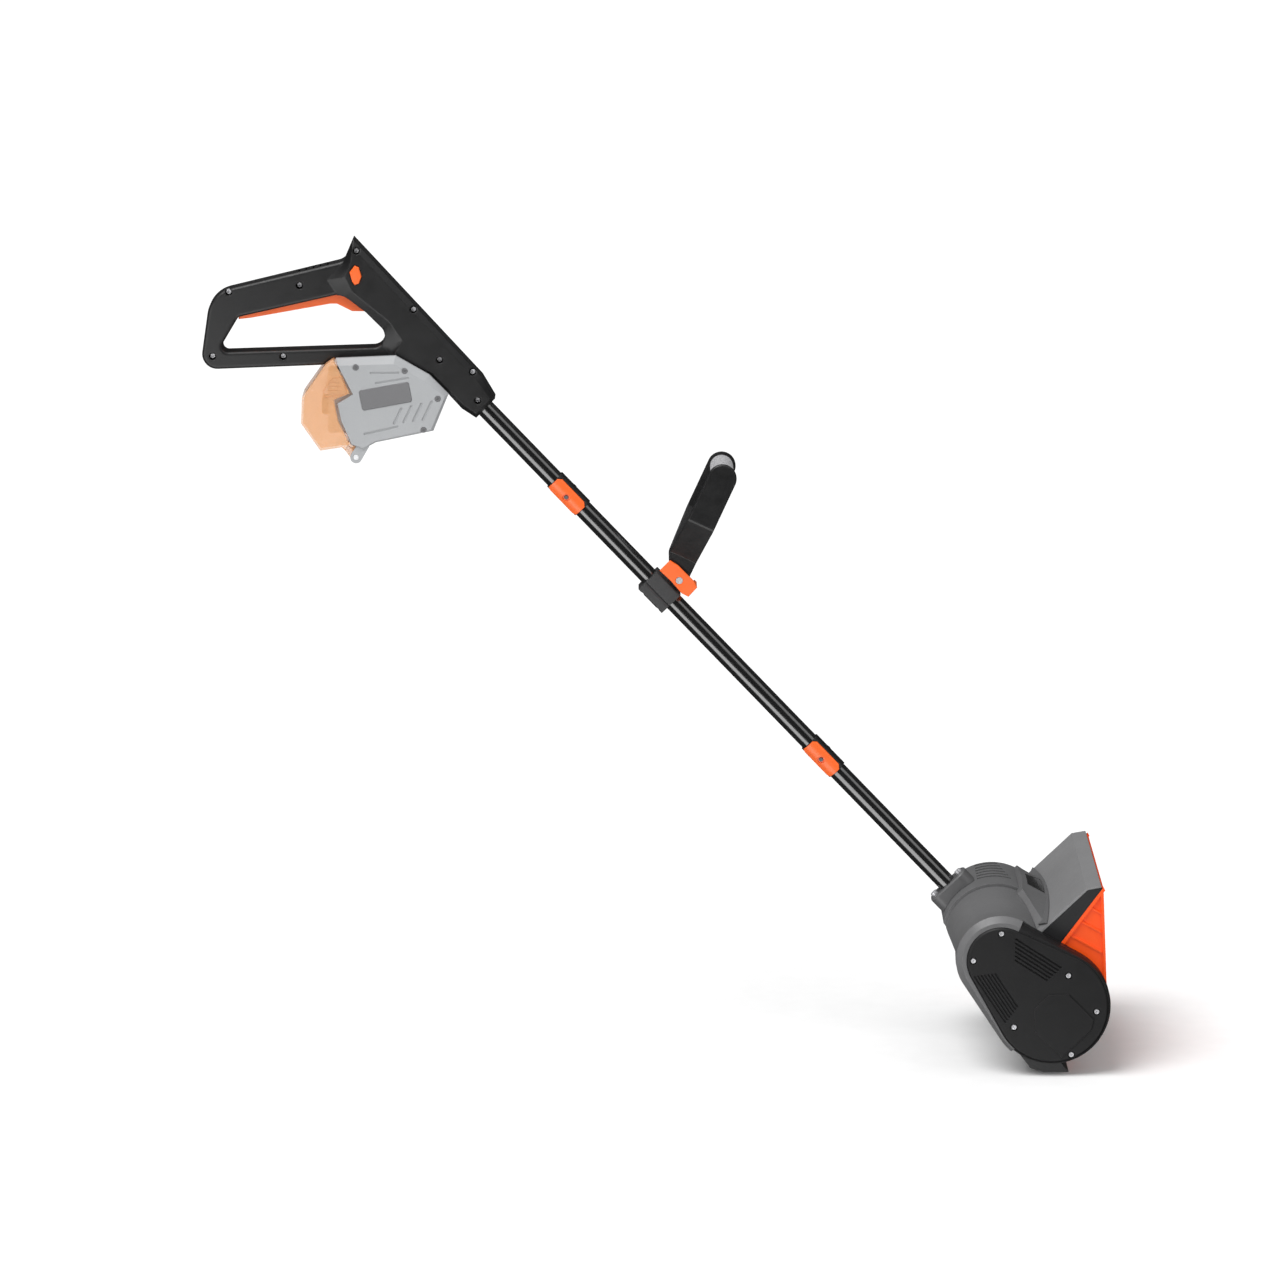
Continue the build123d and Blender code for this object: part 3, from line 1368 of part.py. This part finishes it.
with BuildPart() as hood:
    with BuildSketch(side_plane(bay_half)):
        Polygon(*hood_outline, align=None)
    extrude(amount=2 * bay_half)
    chamfer(hood.faces().sort_by(Axis.Y)[0].edges(), 1.2)
    chamfer(hood.faces().sort_by(Axis.Y)[-1].edges(), 1.2)
    with BuildSketch(side_plane(bay_half - hood_skin)):
        Polygon(*hood_cavity, align=None)
    extrude(amount=2 * (bay_half - hood_skin), mode=Mode.SUBTRACT)
    for side in (-1, 1):
        with BuildSketch() as lug:
            with Locations(hinge_point):
                Circle(6.6)
            with Locations((-841, 735.5)):
                Circle(2.0)
            make_hull()
        add(side_slab(lug.sketch_local, side, lug_inner, lug_outer))
    with BuildSketch(side_plane(loop_half + 0.9)):
        with Locations(hinge_point):
            Circle(hood_reach + 60)
            Circle(hood_reach, mode=Mode.SUBTRACT)
    extrude(amount=2 * loop_half + 1.8, mode=Mode.SUBTRACT)
    with BuildSketch(side_plane(40)):
        with Locations(hinge_point):
            Circle(3.35)
    extrude(amount=80, mode=Mode.SUBTRACT)
    with BuildSketch(side_plane(40)):
        Polygon(*pad_outline, align=None)
        offset(amount=pad_gap, kind=Kind.INTERSECTION)
    extrude(amount=80, mode=Mode.SUBTRACT)

with BuildPart() as hood_pin:
    with BuildSketch(side_plane(bay_half - 1.6)):
        with Locations(hinge_point):
            Circle(3.3)
    extrude(amount=2 * bay_half - 3.2)
    chamfer(hood_pin.edges(), 0.5)


def press_pad(side):
    """A ribbed pad that sits in the window in one side of the hood, with a thin flange behind the skin."""
    with BuildPart() as pad:
        add(side_slab(panel(pad_outline), side, bay_half - hood_skin - 0.4, bay_half + 0.8))
        add(side_slab(panel(pad_outline, 1.4), side, bay_half - hood_skin - 1.8, bay_half - hood_skin - 0.4))
        for step in range(4):
            groove = slanted_slot((-861 + 1.6 * step, 800.5 + 4.6 * step), 0, 19.5 - 2.6 * step, 1.4)
            add(side_slab(groove, side, bay_half + 0.1, bay_half + 2), mode=Mode.SUBTRACT)
    return pad.part


with BuildPart() as hood_latch_near:
    add(press_pad(-1))

with BuildPart() as hood_latch_far:
    add(press_pad(1))

# Export, one file for each named piece
pieces = {
    "scoop": scoop,
    "scoop_back": scoop_back,
    "deflector": deflector,
    "scraper": scraper,
    "scraper_screws": scraper_screws,
    "belt_case": belt_case,
    "belt_cover": belt_cover,
    "cover_screws": cover_screws,
    "side_cap": side_cap,
    "rotor_shaft": rotor_shaft,
    "rotor_hub": rotor_hub,
    "rubber_paddles": rubber_paddles,
    "rotor_bearings": rotor_bearings,
    "rotor_pulley": rotor_pulley,
    "motor_pulley": motor_pulley,
    "belt": belt,
    "motor_armature": motor_armature,
    "motor_can": motor_can,
    "motor_screws": motor_screws,
    "motor_housing_neck": motor_housing_neck,
    "motor_housing_barrel": motor_housing_barrel,
    "saddle_cover": saddle_cover,
    "label_plate": label_plate,
    "socket_collar": socket_collar,
    "socket_bolts": socket_bolts,
    "lower_tube": lower_tube,
    "middle_tube": middle_tube,
    "upper_tube": upper_tube,
    "joint_sleeves": joint_sleeves,
    "coupling_inserts": coupling_inserts,
    "coupling_sleeves": coupling_sleeves,
    "coupling_bolts": coupling_bolts,
    "power_cable": power_cable,
    "clamp_lower": clamp_lower,
    "clamp_upper": clamp_upper,
    "clamp_screws": clamp_screws,
    "front_handle": front_handle,
    "front_grip_sleeve": front_grip_sleeve,
    "lock_lever": lock_lever,
    "handle_pivot_bolt": handle_pivot_bolt,
    "handle_shell_near": handle_shell_near,
    "handle_shell_far": handle_shell_far,
    "handle_screws": handle_screws,
    "controller_board": controller_board,
    "trigger": trigger,
    "trigger_pin": trigger_pin,
    "trigger_spring": trigger_spring,
    "switch_body": switch_body,
    "switch_plunger": switch_plunger,
    "lock_button": lock_button,
    "bay_shell_near": bay_shell_near,
    "bay_shell_far": bay_shell_far,
    "bay_screws": bay_screws,
    "name_plate": name_plate,
    "battery_pack": battery_pack,
    "release_button": release_button,
    "hood": hood,
    "hood_pin": hood_pin,
    "hood_latch_near": hood_latch_near,
    "hood_latch_far": hood_latch_far,
}
for node_name, piece in pieces.items():
    piece.part.label = node_name
    export_step(piece.part, f"parts/{node_name}.step")
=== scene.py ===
import math

import bpy
from mathutils import Matrix, Vector

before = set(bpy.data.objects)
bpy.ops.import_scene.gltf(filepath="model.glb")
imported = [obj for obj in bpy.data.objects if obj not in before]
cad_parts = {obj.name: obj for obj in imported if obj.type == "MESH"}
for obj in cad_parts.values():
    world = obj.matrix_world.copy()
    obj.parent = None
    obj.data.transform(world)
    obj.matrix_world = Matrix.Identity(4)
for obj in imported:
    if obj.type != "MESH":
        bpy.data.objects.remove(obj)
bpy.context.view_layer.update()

# Looks of a battery powered single stage snowblower. Lengths are in metres, and colours are sRGB, 0 to 255.

# Camera: level with the width axis, looking slightly down, far away with a long lens
VIEW_ELEVATION = 11.0
VIEW_DISTANCE = 8.4
VIEW_TARGET = Vector((-0.4891, 0.0, 0.4957))
LENS = 196.9
SENSOR = 36.0

# The tube's direction, its tilt from the vertical and a point at its middle
ALONG_TUBE = Vector((-0.6909, 0.0, 0.7230))
TUBE_TURN = math.atan2(0.6909, 0.7230)
TUBE_MIDDLE = Vector((-0.45, 0.0, 0.54))

# Strengths of the world on the object, of the world in gloss, and of the key light
WORLD_LIGHT = 0.62
WORLD_GLOSS = 0.05
KEY_LIGHT = 2.3
KEY_SOFTNESS = 36.0
KEY_DIRECTION = Vector((-0.42, -0.42, 1.0))

# Half the side of the floor, wide enough to reach past every view
FLOOR_HALF = 60.0


def to_linear(colour):
    """The linear colour of an sRGB colour given as 0 to 255."""
    parts = []
    for value in colour:
        share = value / 255.0
        parts.append(share / 12.92 if share <= 0.04045 else ((share + 0.055) / 1.055) ** 2.4)
    return tuple(parts)


def add(tree, kind, wires=None, **settings):
    """A new node. wires maps an input's name or number to a value or to another node's output."""
    node = tree.nodes.new(kind)
    for key, value in settings.items():
        setattr(node, key, value)
    for key, value in (wires or {}).items():
        if isinstance(value, bpy.types.NodeSocket):
            tree.links.new(value, node.inputs[key])
        else:
            node.inputs[key].default_value = value
    return node


def noise(tree, coords, scale, detail=2.0, roughness=0.5):
    """Noise from 0 to 1 at so many features per metre."""
    wires = {"Vector": coords, "Scale": scale, "Detail": detail, "Roughness": roughness}
    return add(tree, "ShaderNodeTexNoise", wires).outputs["Fac"]


def ramp(tree, value, low, high, out_low, out_high):
    """value from low..high to out_low..out_high, held at the ends."""
    wires = {"Value": value, "From Min": low, "From Max": high, "To Min": out_low, "To Max": out_high}
    return add(tree, "ShaderNodeMapRange", wires).outputs["Result"]


def maths(tree, operation, first, second):
    """The result of an operation on two numbers or outputs."""
    return add(tree, "ShaderNodeMath", {0: first, 1: second}, operation=operation).outputs[0]


def blend_colours(tree, factor, first, second):
    """first where factor is 0, second where it is 1. Each is a linear colour or an output."""
    node = add(tree, "ShaderNodeMix", {0: factor}, data_type="RGBA")
    for key, value in ((6, first), (7, second)):
        if isinstance(value, bpy.types.NodeSocket):
            tree.links.new(value, node.inputs[key])
        else:
            node.inputs[key].default_value = (*value, 1.0)
    return node.outputs[2]


def start(name):
    """A new material's tree, its object coordinates and its shader."""
    material = bpy.data.materials.new(name)
    material.use_nodes = True
    tree = material.node_tree
    tree.nodes.clear()
    shader = add(tree, "ShaderNodeBsdfPrincipled")
    output = add(tree, "ShaderNodeOutputMaterial")
    tree.links.new(shader.outputs["BSDF"], output.inputs["Surface"])
    coords = add(tree, "ShaderNodeTexCoord").outputs["Object"]
    return material, tree, coords, shader


def soft_edges(tree, radius):
    """The normal with edges rounded by radius, and a mask that is 1 on those edges."""
    rounded = add(tree, "ShaderNodeBevel", {"Radius": radius}, samples=4).outputs["Normal"]
    plain = add(tree, "ShaderNodeNewGeometry").outputs["Normal"]
    wires = {0: rounded, 1: plain}
    facing = add(tree, "ShaderNodeVectorMath", wires, operation="DOT_PRODUCT").outputs["Value"]
    return rounded, ramp(tree, facing, 0.995, 0.85, 0.0, 1.0)


def moulded(name, colour, roughness=0.42, grain=1400.0, depth=0.00006, mottle=0.05, edge_wear_and_highlight=0.35, edge=0.0006,
            specular=0.5, coat=0.0, alpha=1.0):
    """Moulded plastic: fine surface grain, faint mottling, handling marks, and paler edges that are partly
    rubbing and partly painted edge highlight.
    """
    material, tree, coords, shader = start(name)
    fine = noise(tree, coords, grain)
    broad = noise(tree, coords, 9.0, 3.0)
    marks = noise(tree, coords, 70.0, 4.0, 0.65)
    normal, on_edge = soft_edges(tree, edge)
    # Edges paled by the edge lightening value: part rubbing, part a painted highlight along rounded edges.
    rubbed_and_lit_edge = maths(tree, "MULTIPLY", on_edge, ramp(tree, marks, 0.35, 0.65, 0.2, 1.0))
    shade = maths(tree, "ADD", ramp(tree, broad, 0.3, 0.7, 1.0 - mottle, 1.0 + mottle),
                  ramp(tree, fine, 0.3, 0.7, -0.03, 0.03))
    shade = maths(tree, "ADD", shade, maths(tree, "MULTIPLY", rubbed_and_lit_edge, edge_wear_and_highlight))
    wires = {0: to_linear(colour), "Scale": shade}
    base = add(tree, "ShaderNodeVectorMath", wires, operation="SCALE").outputs["Vector"]
    tree.links.new(base, shader.inputs["Base Color"])
    gloss = ramp(tree, marks, 0.3, 0.7, roughness - 0.05, roughness + 0.06)
    tree.links.new(gloss, shader.inputs["Roughness"])
    wires = {"Strength": 1.0, "Distance": depth, "Height": fine, "Normal": normal}
    tree.links.new(add(tree, "ShaderNodeBump", wires).outputs["Normal"], shader.inputs["Normal"])
    shader.inputs["Specular IOR Level"].default_value = specular
    shader.inputs["Coat Weight"].default_value = coat
    shader.inputs["Coat Roughness"].default_value = 0.1
    shader.inputs["Alpha"].default_value = alpha
    return material


def metal(name, colour, roughness, metallic=1.0):
    """Bare or plated metal: fine drawn scratches, uneven gloss, a little grime, and paler edges that are
    partly rubbing and partly painted edge highlight.
    """
    material, tree, coords, shader = start(name)
    lines = noise(tree, coords, 900.0, 3.0)
    grime = noise(tree, coords, 160.0, 4.0, 0.6)
    normal, on_edge = soft_edges(tree, 0.0003)
    # Edges paled a little: part rubbing, part a painted edge highlight.
    shade = maths(tree, "ADD", ramp(tree, grime, 0.3, 0.75, 1.0, 0.8), maths(tree, "MULTIPLY", on_edge, 0.15))
    wires = {0: to_linear(colour), "Scale": shade}
    base = add(tree, "ShaderNodeVectorMath", wires, operation="SCALE").outputs["Vector"]
    tree.links.new(base, shader.inputs["Base Color"])
    tree.links.new(ramp(tree, lines, 0.3, 0.7, roughness - 0.08, roughness + 0.1), shader.inputs["Roughness"])
    wires = {"Strength": 1.0, "Distance": 0.00003, "Height": lines, "Normal": normal}
    tree.links.new(add(tree, "ShaderNodeBump", wires).outputs["Normal"], shader.inputs["Normal"])
    shader.inputs["Metallic"].default_value = metallic
    return material


def lacquered_tube(name):
    """Gloss black lacquer on drawn tube: faint orange peel, long draw lines and a trace of dust."""
    material, tree, coords, shader = start(name)
    peel = noise(tree, coords, 260.0, 1.0)
    turn = add(tree, "ShaderNodeVectorRotate", {"Vector": coords, "Angle": TUBE_TURN},
               rotation_type="Y_AXIS").outputs["Vector"]
    drawn = add(tree, "ShaderNodeMapping", {"Vector": turn, "Scale": (1.0, 1.0, 0.01)}).outputs["Vector"]
    lines = noise(tree, drawn, 1100.0, 2.0)
    dust = noise(tree, coords, 1800.0, 2.0)
    spots = ramp(tree, dust, 0.6, 0.74, 0.0, 0.12)
    base = blend_colours(tree, spots, to_linear((11, 11, 12)), to_linear((60, 60, 62)))
    tree.links.new(base, shader.inputs["Base Color"])
    tree.links.new(ramp(tree, lines, 0.3, 0.7, 0.2, 0.27), shader.inputs["Roughness"])
    height = maths(tree, "ADD", peel, maths(tree, "MULTIPLY", lines, 0.15))
    wires = {"Strength": 1.0, "Distance": 0.000008, "Height": height}
    tree.links.new(add(tree, "ShaderNodeBump", wires).outputs["Normal"], shader.inputs["Normal"])
    shader.inputs["Specular IOR Level"].default_value = 1.0
    shader.inputs["Coat Weight"].default_value = 1.0
    shader.inputs["Coat Roughness"].default_value = 0.08
    shader.inputs["Coat IOR"].default_value = 1.7
    return material


def speckled_foam(name):
    """Pale grip sleeve with dark flecks and small open cells."""
    material, tree, coords, shader = start(name)
    flecks = ramp(tree, noise(tree, coords, 900.0, 2.0), 0.53, 0.6, 0.0, 1.0)
    patches = ramp(tree, noise(tree, coords, 60.0, 3.0), 0.3, 0.7, 0.0, 0.35)
    pale = blend_colours(tree, patches, to_linear((178, 178, 180)), to_linear((150, 150, 153)))
    tree.links.new(blend_colours(tree, flecks, pale, to_linear((92, 92, 95))), shader.inputs["Base Color"])
    cells = add(tree, "ShaderNodeTexVoronoi", {"Vector": coords, "Scale": 1100.0}).outputs["Distance"]
    tree.links.new(ramp(tree, cells, 0.0, 0.6, 0.75, 0.95), shader.inputs["Roughness"])
    normal, _ = soft_edges(tree, 0.0008)
    wires = {"Strength": 0.6, "Distance": 0.00025, "Height": cells, "Normal": normal}
    tree.links.new(add(tree, "ShaderNodeBump", wires).outputs["Normal"], shader.inputs["Normal"])
    return material


def rubber(name, colour, grain=700.0, depth=0.00012):
    """Matt rubber with a dusty bloom and a coarse moulded grain."""
    material, tree, coords, shader = start(name)
    bloom = ramp(tree, noise(tree, coords, 40.0, 4.0, 0.6), 0.4, 0.7, 0.0, 0.5)
    base = blend_colours(tree, bloom, to_linear(colour), to_linear(tuple(c + 22 for c in colour)))
    tree.links.new(base, shader.inputs["Base Color"])
    fine = noise(tree, coords, grain, 3.0)
    tree.links.new(ramp(tree, fine, 0.3, 0.7, 0.62, 0.8), shader.inputs["Roughness"])
    normal, _ = soft_edges(tree, 0.0007)
    wires = {"Strength": 0.8, "Distance": depth, "Height": fine, "Normal": normal}
    tree.links.new(add(tree, "ShaderNodeBump", wires).outputs["Normal"], shader.inputs["Normal"])
    return material


def circuit_board(name):
    """Green solder mask over copper tracks, with bare solder spots."""
    material, tree, coords, shader = start(name)
    tracks = noise(tree, coords, 260.0, 1.0)
    base = blend_colours(tree, ramp(tree, tracks, 0.5, 0.53, 0.0, 1.0), to_linear((16, 74, 40)),
                         to_linear((34, 104, 58)))
    tree.links.new(base, shader.inputs["Base Color"])
    tree.links.new(ramp(tree, tracks, 0.3, 0.7, 0.3, 0.45), shader.inputs["Roughness"])
    wires = {"Strength": 0.5, "Distance": 0.0001, "Height": tracks}
    tree.links.new(add(tree, "ShaderNodeBump", wires).outputs["Normal"], shader.inputs["Normal"])
    return material


# Each finish's edge lightening value pales its edges: partly rubbing, and on the black finishes largely a
# painted edge highlight.
orange = moulded("orange_moulding", (254, 84, 6), roughness=0.38, mottle=0.04, edge_wear_and_highlight=0.2, edge=0.0009,
                 specular=0.35)
grey = moulded("grey_moulding", (98, 98, 99), roughness=0.4, mottle=0.05, edge_wear_and_highlight=0.35, edge=0.0009)
# A lighter copy of the orange for the small orange parts: painted light that offsets the shade these parts
# sit in.
orange_painted_lighter = moulded("orange_painted_lighter", (255, 106, 32), roughness=0.34, mottle=0.03, edge_wear_and_highlight=0.3, edge=0.0009)
deflector_grey = moulded("deflector_grey", (128, 128, 129), roughness=0.38, edge_wear_and_highlight=0.3, edge=0.0009)
clamp_black = moulded("clamp_black", (56, 56, 57), roughness=0.42, edge_wear_and_highlight=0.5, edge=0.0012)
dark_grey = moulded("dark_grey_moulding", (88, 88, 89), roughness=0.42, edge_wear_and_highlight=0.4, edge=0.0012)
case_black = moulded("case_black", (19, 19, 20), roughness=0.52, grain=1100.0, depth=0.0001, edge_wear_and_highlight=0.8,
                     specular=0.32, edge=0.001)
handle_black = moulded("handle_black", (20, 20, 21), roughness=0.4, grain=1500.0, edge_wear_and_highlight=1.1, edge=0.0024)
satin_black = moulded("satin_black", (20, 20, 21), roughness=0.38, edge_wear_and_highlight=1.2, edge=0.0012)
scoop_black = moulded("scoop_black", (30, 30, 32), roughness=0.5, edge_wear_and_highlight=0.7)
plate_black = moulded("plate_black", (15, 15, 16), roughness=0.24, grain=2200.0, depth=0.00002, coat=0.3)
scraper_black = moulded("scraper_black", (38, 38, 39), roughness=0.55, grain=500.0, depth=0.0002, edge_wear_and_highlight=0.9)
bay_grey = moulded("bay_grey", (166, 168, 170), roughness=0.45, edge_wear_and_highlight=0.14, mottle=0.03, edge=0.0012)
plate_grey = moulded("plate_grey", (112, 112, 114), roughness=0.4, edge_wear_and_highlight=0.2)
pin_white = moulded("pin_white", (226, 227, 229), roughness=0.32, edge_wear_and_highlight=0.05)
pack_pale = moulded("pack_pale", (206, 190, 178), roughness=0.5, edge_wear_and_highlight=0.15)
button_brown = moulded("button_brown", (150, 112, 92), roughness=0.4, edge_wear_and_highlight=0.2)
switch_black = moulded("switch_black", (26, 26, 26), roughness=0.35, edge_wear_and_highlight=0.3)
rotor_black = moulded("rotor_black", (38, 38, 40), roughness=0.45, edge_wear_and_highlight=0.7)
amber = moulded("amber_hood", (255, 194, 136), roughness=0.22, grain=900.0, depth=0.00002, mottle=0.04,
                edge_wear_and_highlight=0.3, specular=0.6, coat=0.3, alpha=0.46)
# Only half metallic, so the pale colour shows under diffuse light: painted brightness standing in for the
# reflections that light up the screw heads.
screw_steel = metal("screw_steel", (226, 226, 229), roughness=0.34, metallic=0.5)
steel = metal("plated_steel", (214, 214, 218), roughness=0.24)
dark_steel = metal("dark_steel", (84, 84, 87), roughness=0.4, metallic=0.7)
bearing = metal("bearing_steel", (176, 178, 182), roughness=0.3)
alloy = metal("pulley_alloy", (186, 188, 192), roughness=0.36)
tube = lacquered_tube("gloss_black_tube")
foam = speckled_foam("speckled_grip")
paddle_rubber = rubber("paddle_rubber", (30, 30, 31))
belt_rubber = rubber("belt_rubber", (24, 24, 25), 1500.0, 0.00006)
cable_rubber = rubber("cable_rubber", (26, 26, 27), 1500.0, 0.00005)
board = circuit_board("board_green")

FINISHES = (
    (orange, ("scoop",)),
    (orange_painted_lighter, ("coupling_inserts", "lock_lever", "trigger", "lock_button")),
    (grey, ("motor_housing_neck", "motor_housing_barrel", "saddle_cover")),
    (deflector_grey, ("deflector",)),
    (clamp_black, ("clamp_lower", "clamp_upper")),
    (dark_grey, ("socket_collar",)),
    (case_black, ("belt_case", "belt_cover", "side_cap")),
    (handle_black, ("handle_shell_near", "handle_shell_far")),
    (satin_black, ("front_handle", "coupling_sleeves")),
    (scoop_black, ("scoop_back",)),
    (plate_black, ("label_plate",)),
    (scraper_black, ("scraper",)),
    (bay_grey, ("bay_shell_near", "bay_shell_far")),
    (plate_grey, ("name_plate", "bay_screws")),
    (pack_pale, ("battery_pack",)),
    (button_brown, ("release_button",)),
    (switch_black, ("switch_body", "switch_plunger")),
    (rotor_black, ("rotor_hub",)),
    (amber, ("hood", "hood_latch_near", "hood_latch_far")),
    (screw_steel, ("cover_screws", "socket_bolts", "handle_screws", "handle_pivot_bolt")),
    (steel, ("scraper_screws", "rotor_shaft", "motor_screws", "clamp_screws", "trigger_pin",
             "trigger_spring")),
    (dark_steel, ("coupling_bolts",)),
    (pin_white, ("hood_pin",)),
    (bearing, ("rotor_bearings", "motor_can", "motor_armature")),
    (alloy, ("rotor_pulley", "motor_pulley")),
    (tube, ("lower_tube", "middle_tube", "upper_tube", "joint_sleeves")),
    (foam, ("front_grip_sleeve",)),
    (paddle_rubber, ("rubber_paddles",)),
    (belt_rubber, ("belt",)),
    (cable_rubber, ("power_cable",)),
    (board, ("controller_board",)),
)
for finish, names in FINISHES:
    for name in names:
        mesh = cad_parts[name].data
        mesh.materials.clear()
        mesh.materials.append(finish)


def make_floor():
    """Plain floor, white enough to burn out away from the soft contact shadow."""
    mesh = bpy.data.meshes.new("floor")
    half = FLOOR_HALF
    corners = [(-half, -half, 0.0), (half, -half, 0.0), (half, half, 0.0), (-half, half, 0.0)]
    mesh.from_pydata(corners, [], [(0, 1, 2, 3)])
    floor = bpy.data.objects.new("floor", mesh)
    bpy.context.scene.collection.objects.link(floor)
    material, tree, coords, shader = start("floor_paper")
    paper = noise(tree, coords, 30.0, 3.0)
    base = blend_colours(tree, ramp(tree, paper, 0.3, 0.7, 0.0, 1.0), (0.88, 0.88, 0.88), (0.9, 0.9, 0.9))
    tree.links.new(base, shader.inputs["Base Color"])
    shader.inputs["Roughness"].default_value = 0.9
    shader.inputs["Specular IOR Level"].default_value = 0.0
    mesh.materials.append(material)
    floor.visible_glossy = False
    floor.visible_shadow = False


def make_world():
    """White to the camera, even soft light on the object, and dark where gloss reflects it."""
    world = bpy.data.worlds.new("studio")
    bpy.context.scene.world = world
    world.use_nodes = True
    tree = world.node_tree
    tree.nodes.clear()
    path = add(tree, "ShaderNodeLightPath")
    strength = maths(tree, "SUBTRACT", WORLD_LIGHT, maths(tree, "MULTIPLY", path.outputs["Is Glossy Ray"],
                                                          WORLD_LIGHT - WORLD_GLOSS))
    strength = maths(tree, "MAXIMUM", strength, path.outputs["Is Camera Ray"])
    background = add(tree, "ShaderNodeBackground", {"Color": (1.0, 1.0, 1.0, 1.0), "Strength": strength})
    output = add(tree, "ShaderNodeOutputWorld")
    tree.links.new(background.outputs["Background"], output.inputs["Surface"])


def card(name, centre, towards, along, width, length, radiance):
    """A softbox seen only in gloss: a panel at centre that faces towards, its long side along."""
    light = bpy.data.lights.new(name, "AREA")
    light.shape = "RECTANGLE"
    light.size = width
    light.size_y = length
    light.energy = radiance * math.pi * width * length
    obj = bpy.data.objects.new(name, light)
    bpy.context.scene.collection.objects.link(obj)
    back = (centre - towards).normalized()
    long_side = (along - back * along.dot(back)).normalized()
    short_side = long_side.cross(back)
    obj.matrix_world = matrix_from(short_side, long_side, back, centre)
    obj.visible_camera = False
    obj.visible_diffuse = False
    return obj


def matrix_from(x_axis, y_axis, z_axis, centre):
    """The matrix with these axes and this origin."""
    matrix = Matrix((x_axis, y_axis, z_axis)).transposed().to_4x4()
    matrix.translation = centre
    return matrix


def make_sun():
    """The soft key light, from above on the near left."""
    sun = bpy.data.lights.new("soft_key", "SUN")
    sun.energy = KEY_LIGHT
    sun.angle = math.radians(KEY_SOFTNESS)
    obj = bpy.data.objects.new("soft_key", sun)
    bpy.context.scene.collection.objects.link(obj)
    obj.rotation_euler = KEY_DIRECTION.to_track_quat("Z", "Y").to_euler()


def make_camera():
    """The camera, with its long side level."""
    data = bpy.data.cameras.new("camera")
    data.lens = LENS
    data.sensor_width = SENSOR
    data.clip_end = 200.0
    camera = bpy.data.objects.new("camera", data)
    bpy.context.scene.collection.objects.link(camera)
    tilt = math.radians(VIEW_ELEVATION)
    camera.location = VIEW_TARGET + VIEW_DISTANCE * Vector((0.0, -math.cos(tilt), math.sin(tilt)))
    camera.rotation_euler = (math.pi / 2 - tilt, 0.0, 0.0)
    bpy.context.scene.camera = camera


make_floor()
make_world()
make_sun()
make_camera()
card("low_card", TUBE_MIDDLE + Vector((-0.329, -0.797, -0.505)) * 0.9, TUBE_MIDDLE, ALONG_TUBE, 0.6, 3.0, 2.6)
card("high_card", TUBE_MIDDLE + Vector((0.725, -0.470, 0.503)) * 1.2, TUBE_MIDDLE, ALONG_TUBE, 0.6, 3.0, 1.0)
card("top_card", Vector((-0.45, 0.2, 2.4)), Vector((-0.45, 0.0, 0.4)), Vector((1.0, 0.0, 0.0)), 1.4, 3.0, 1.2)

scene = bpy.context.scene
scene.view_settings.view_transform = "Standard"
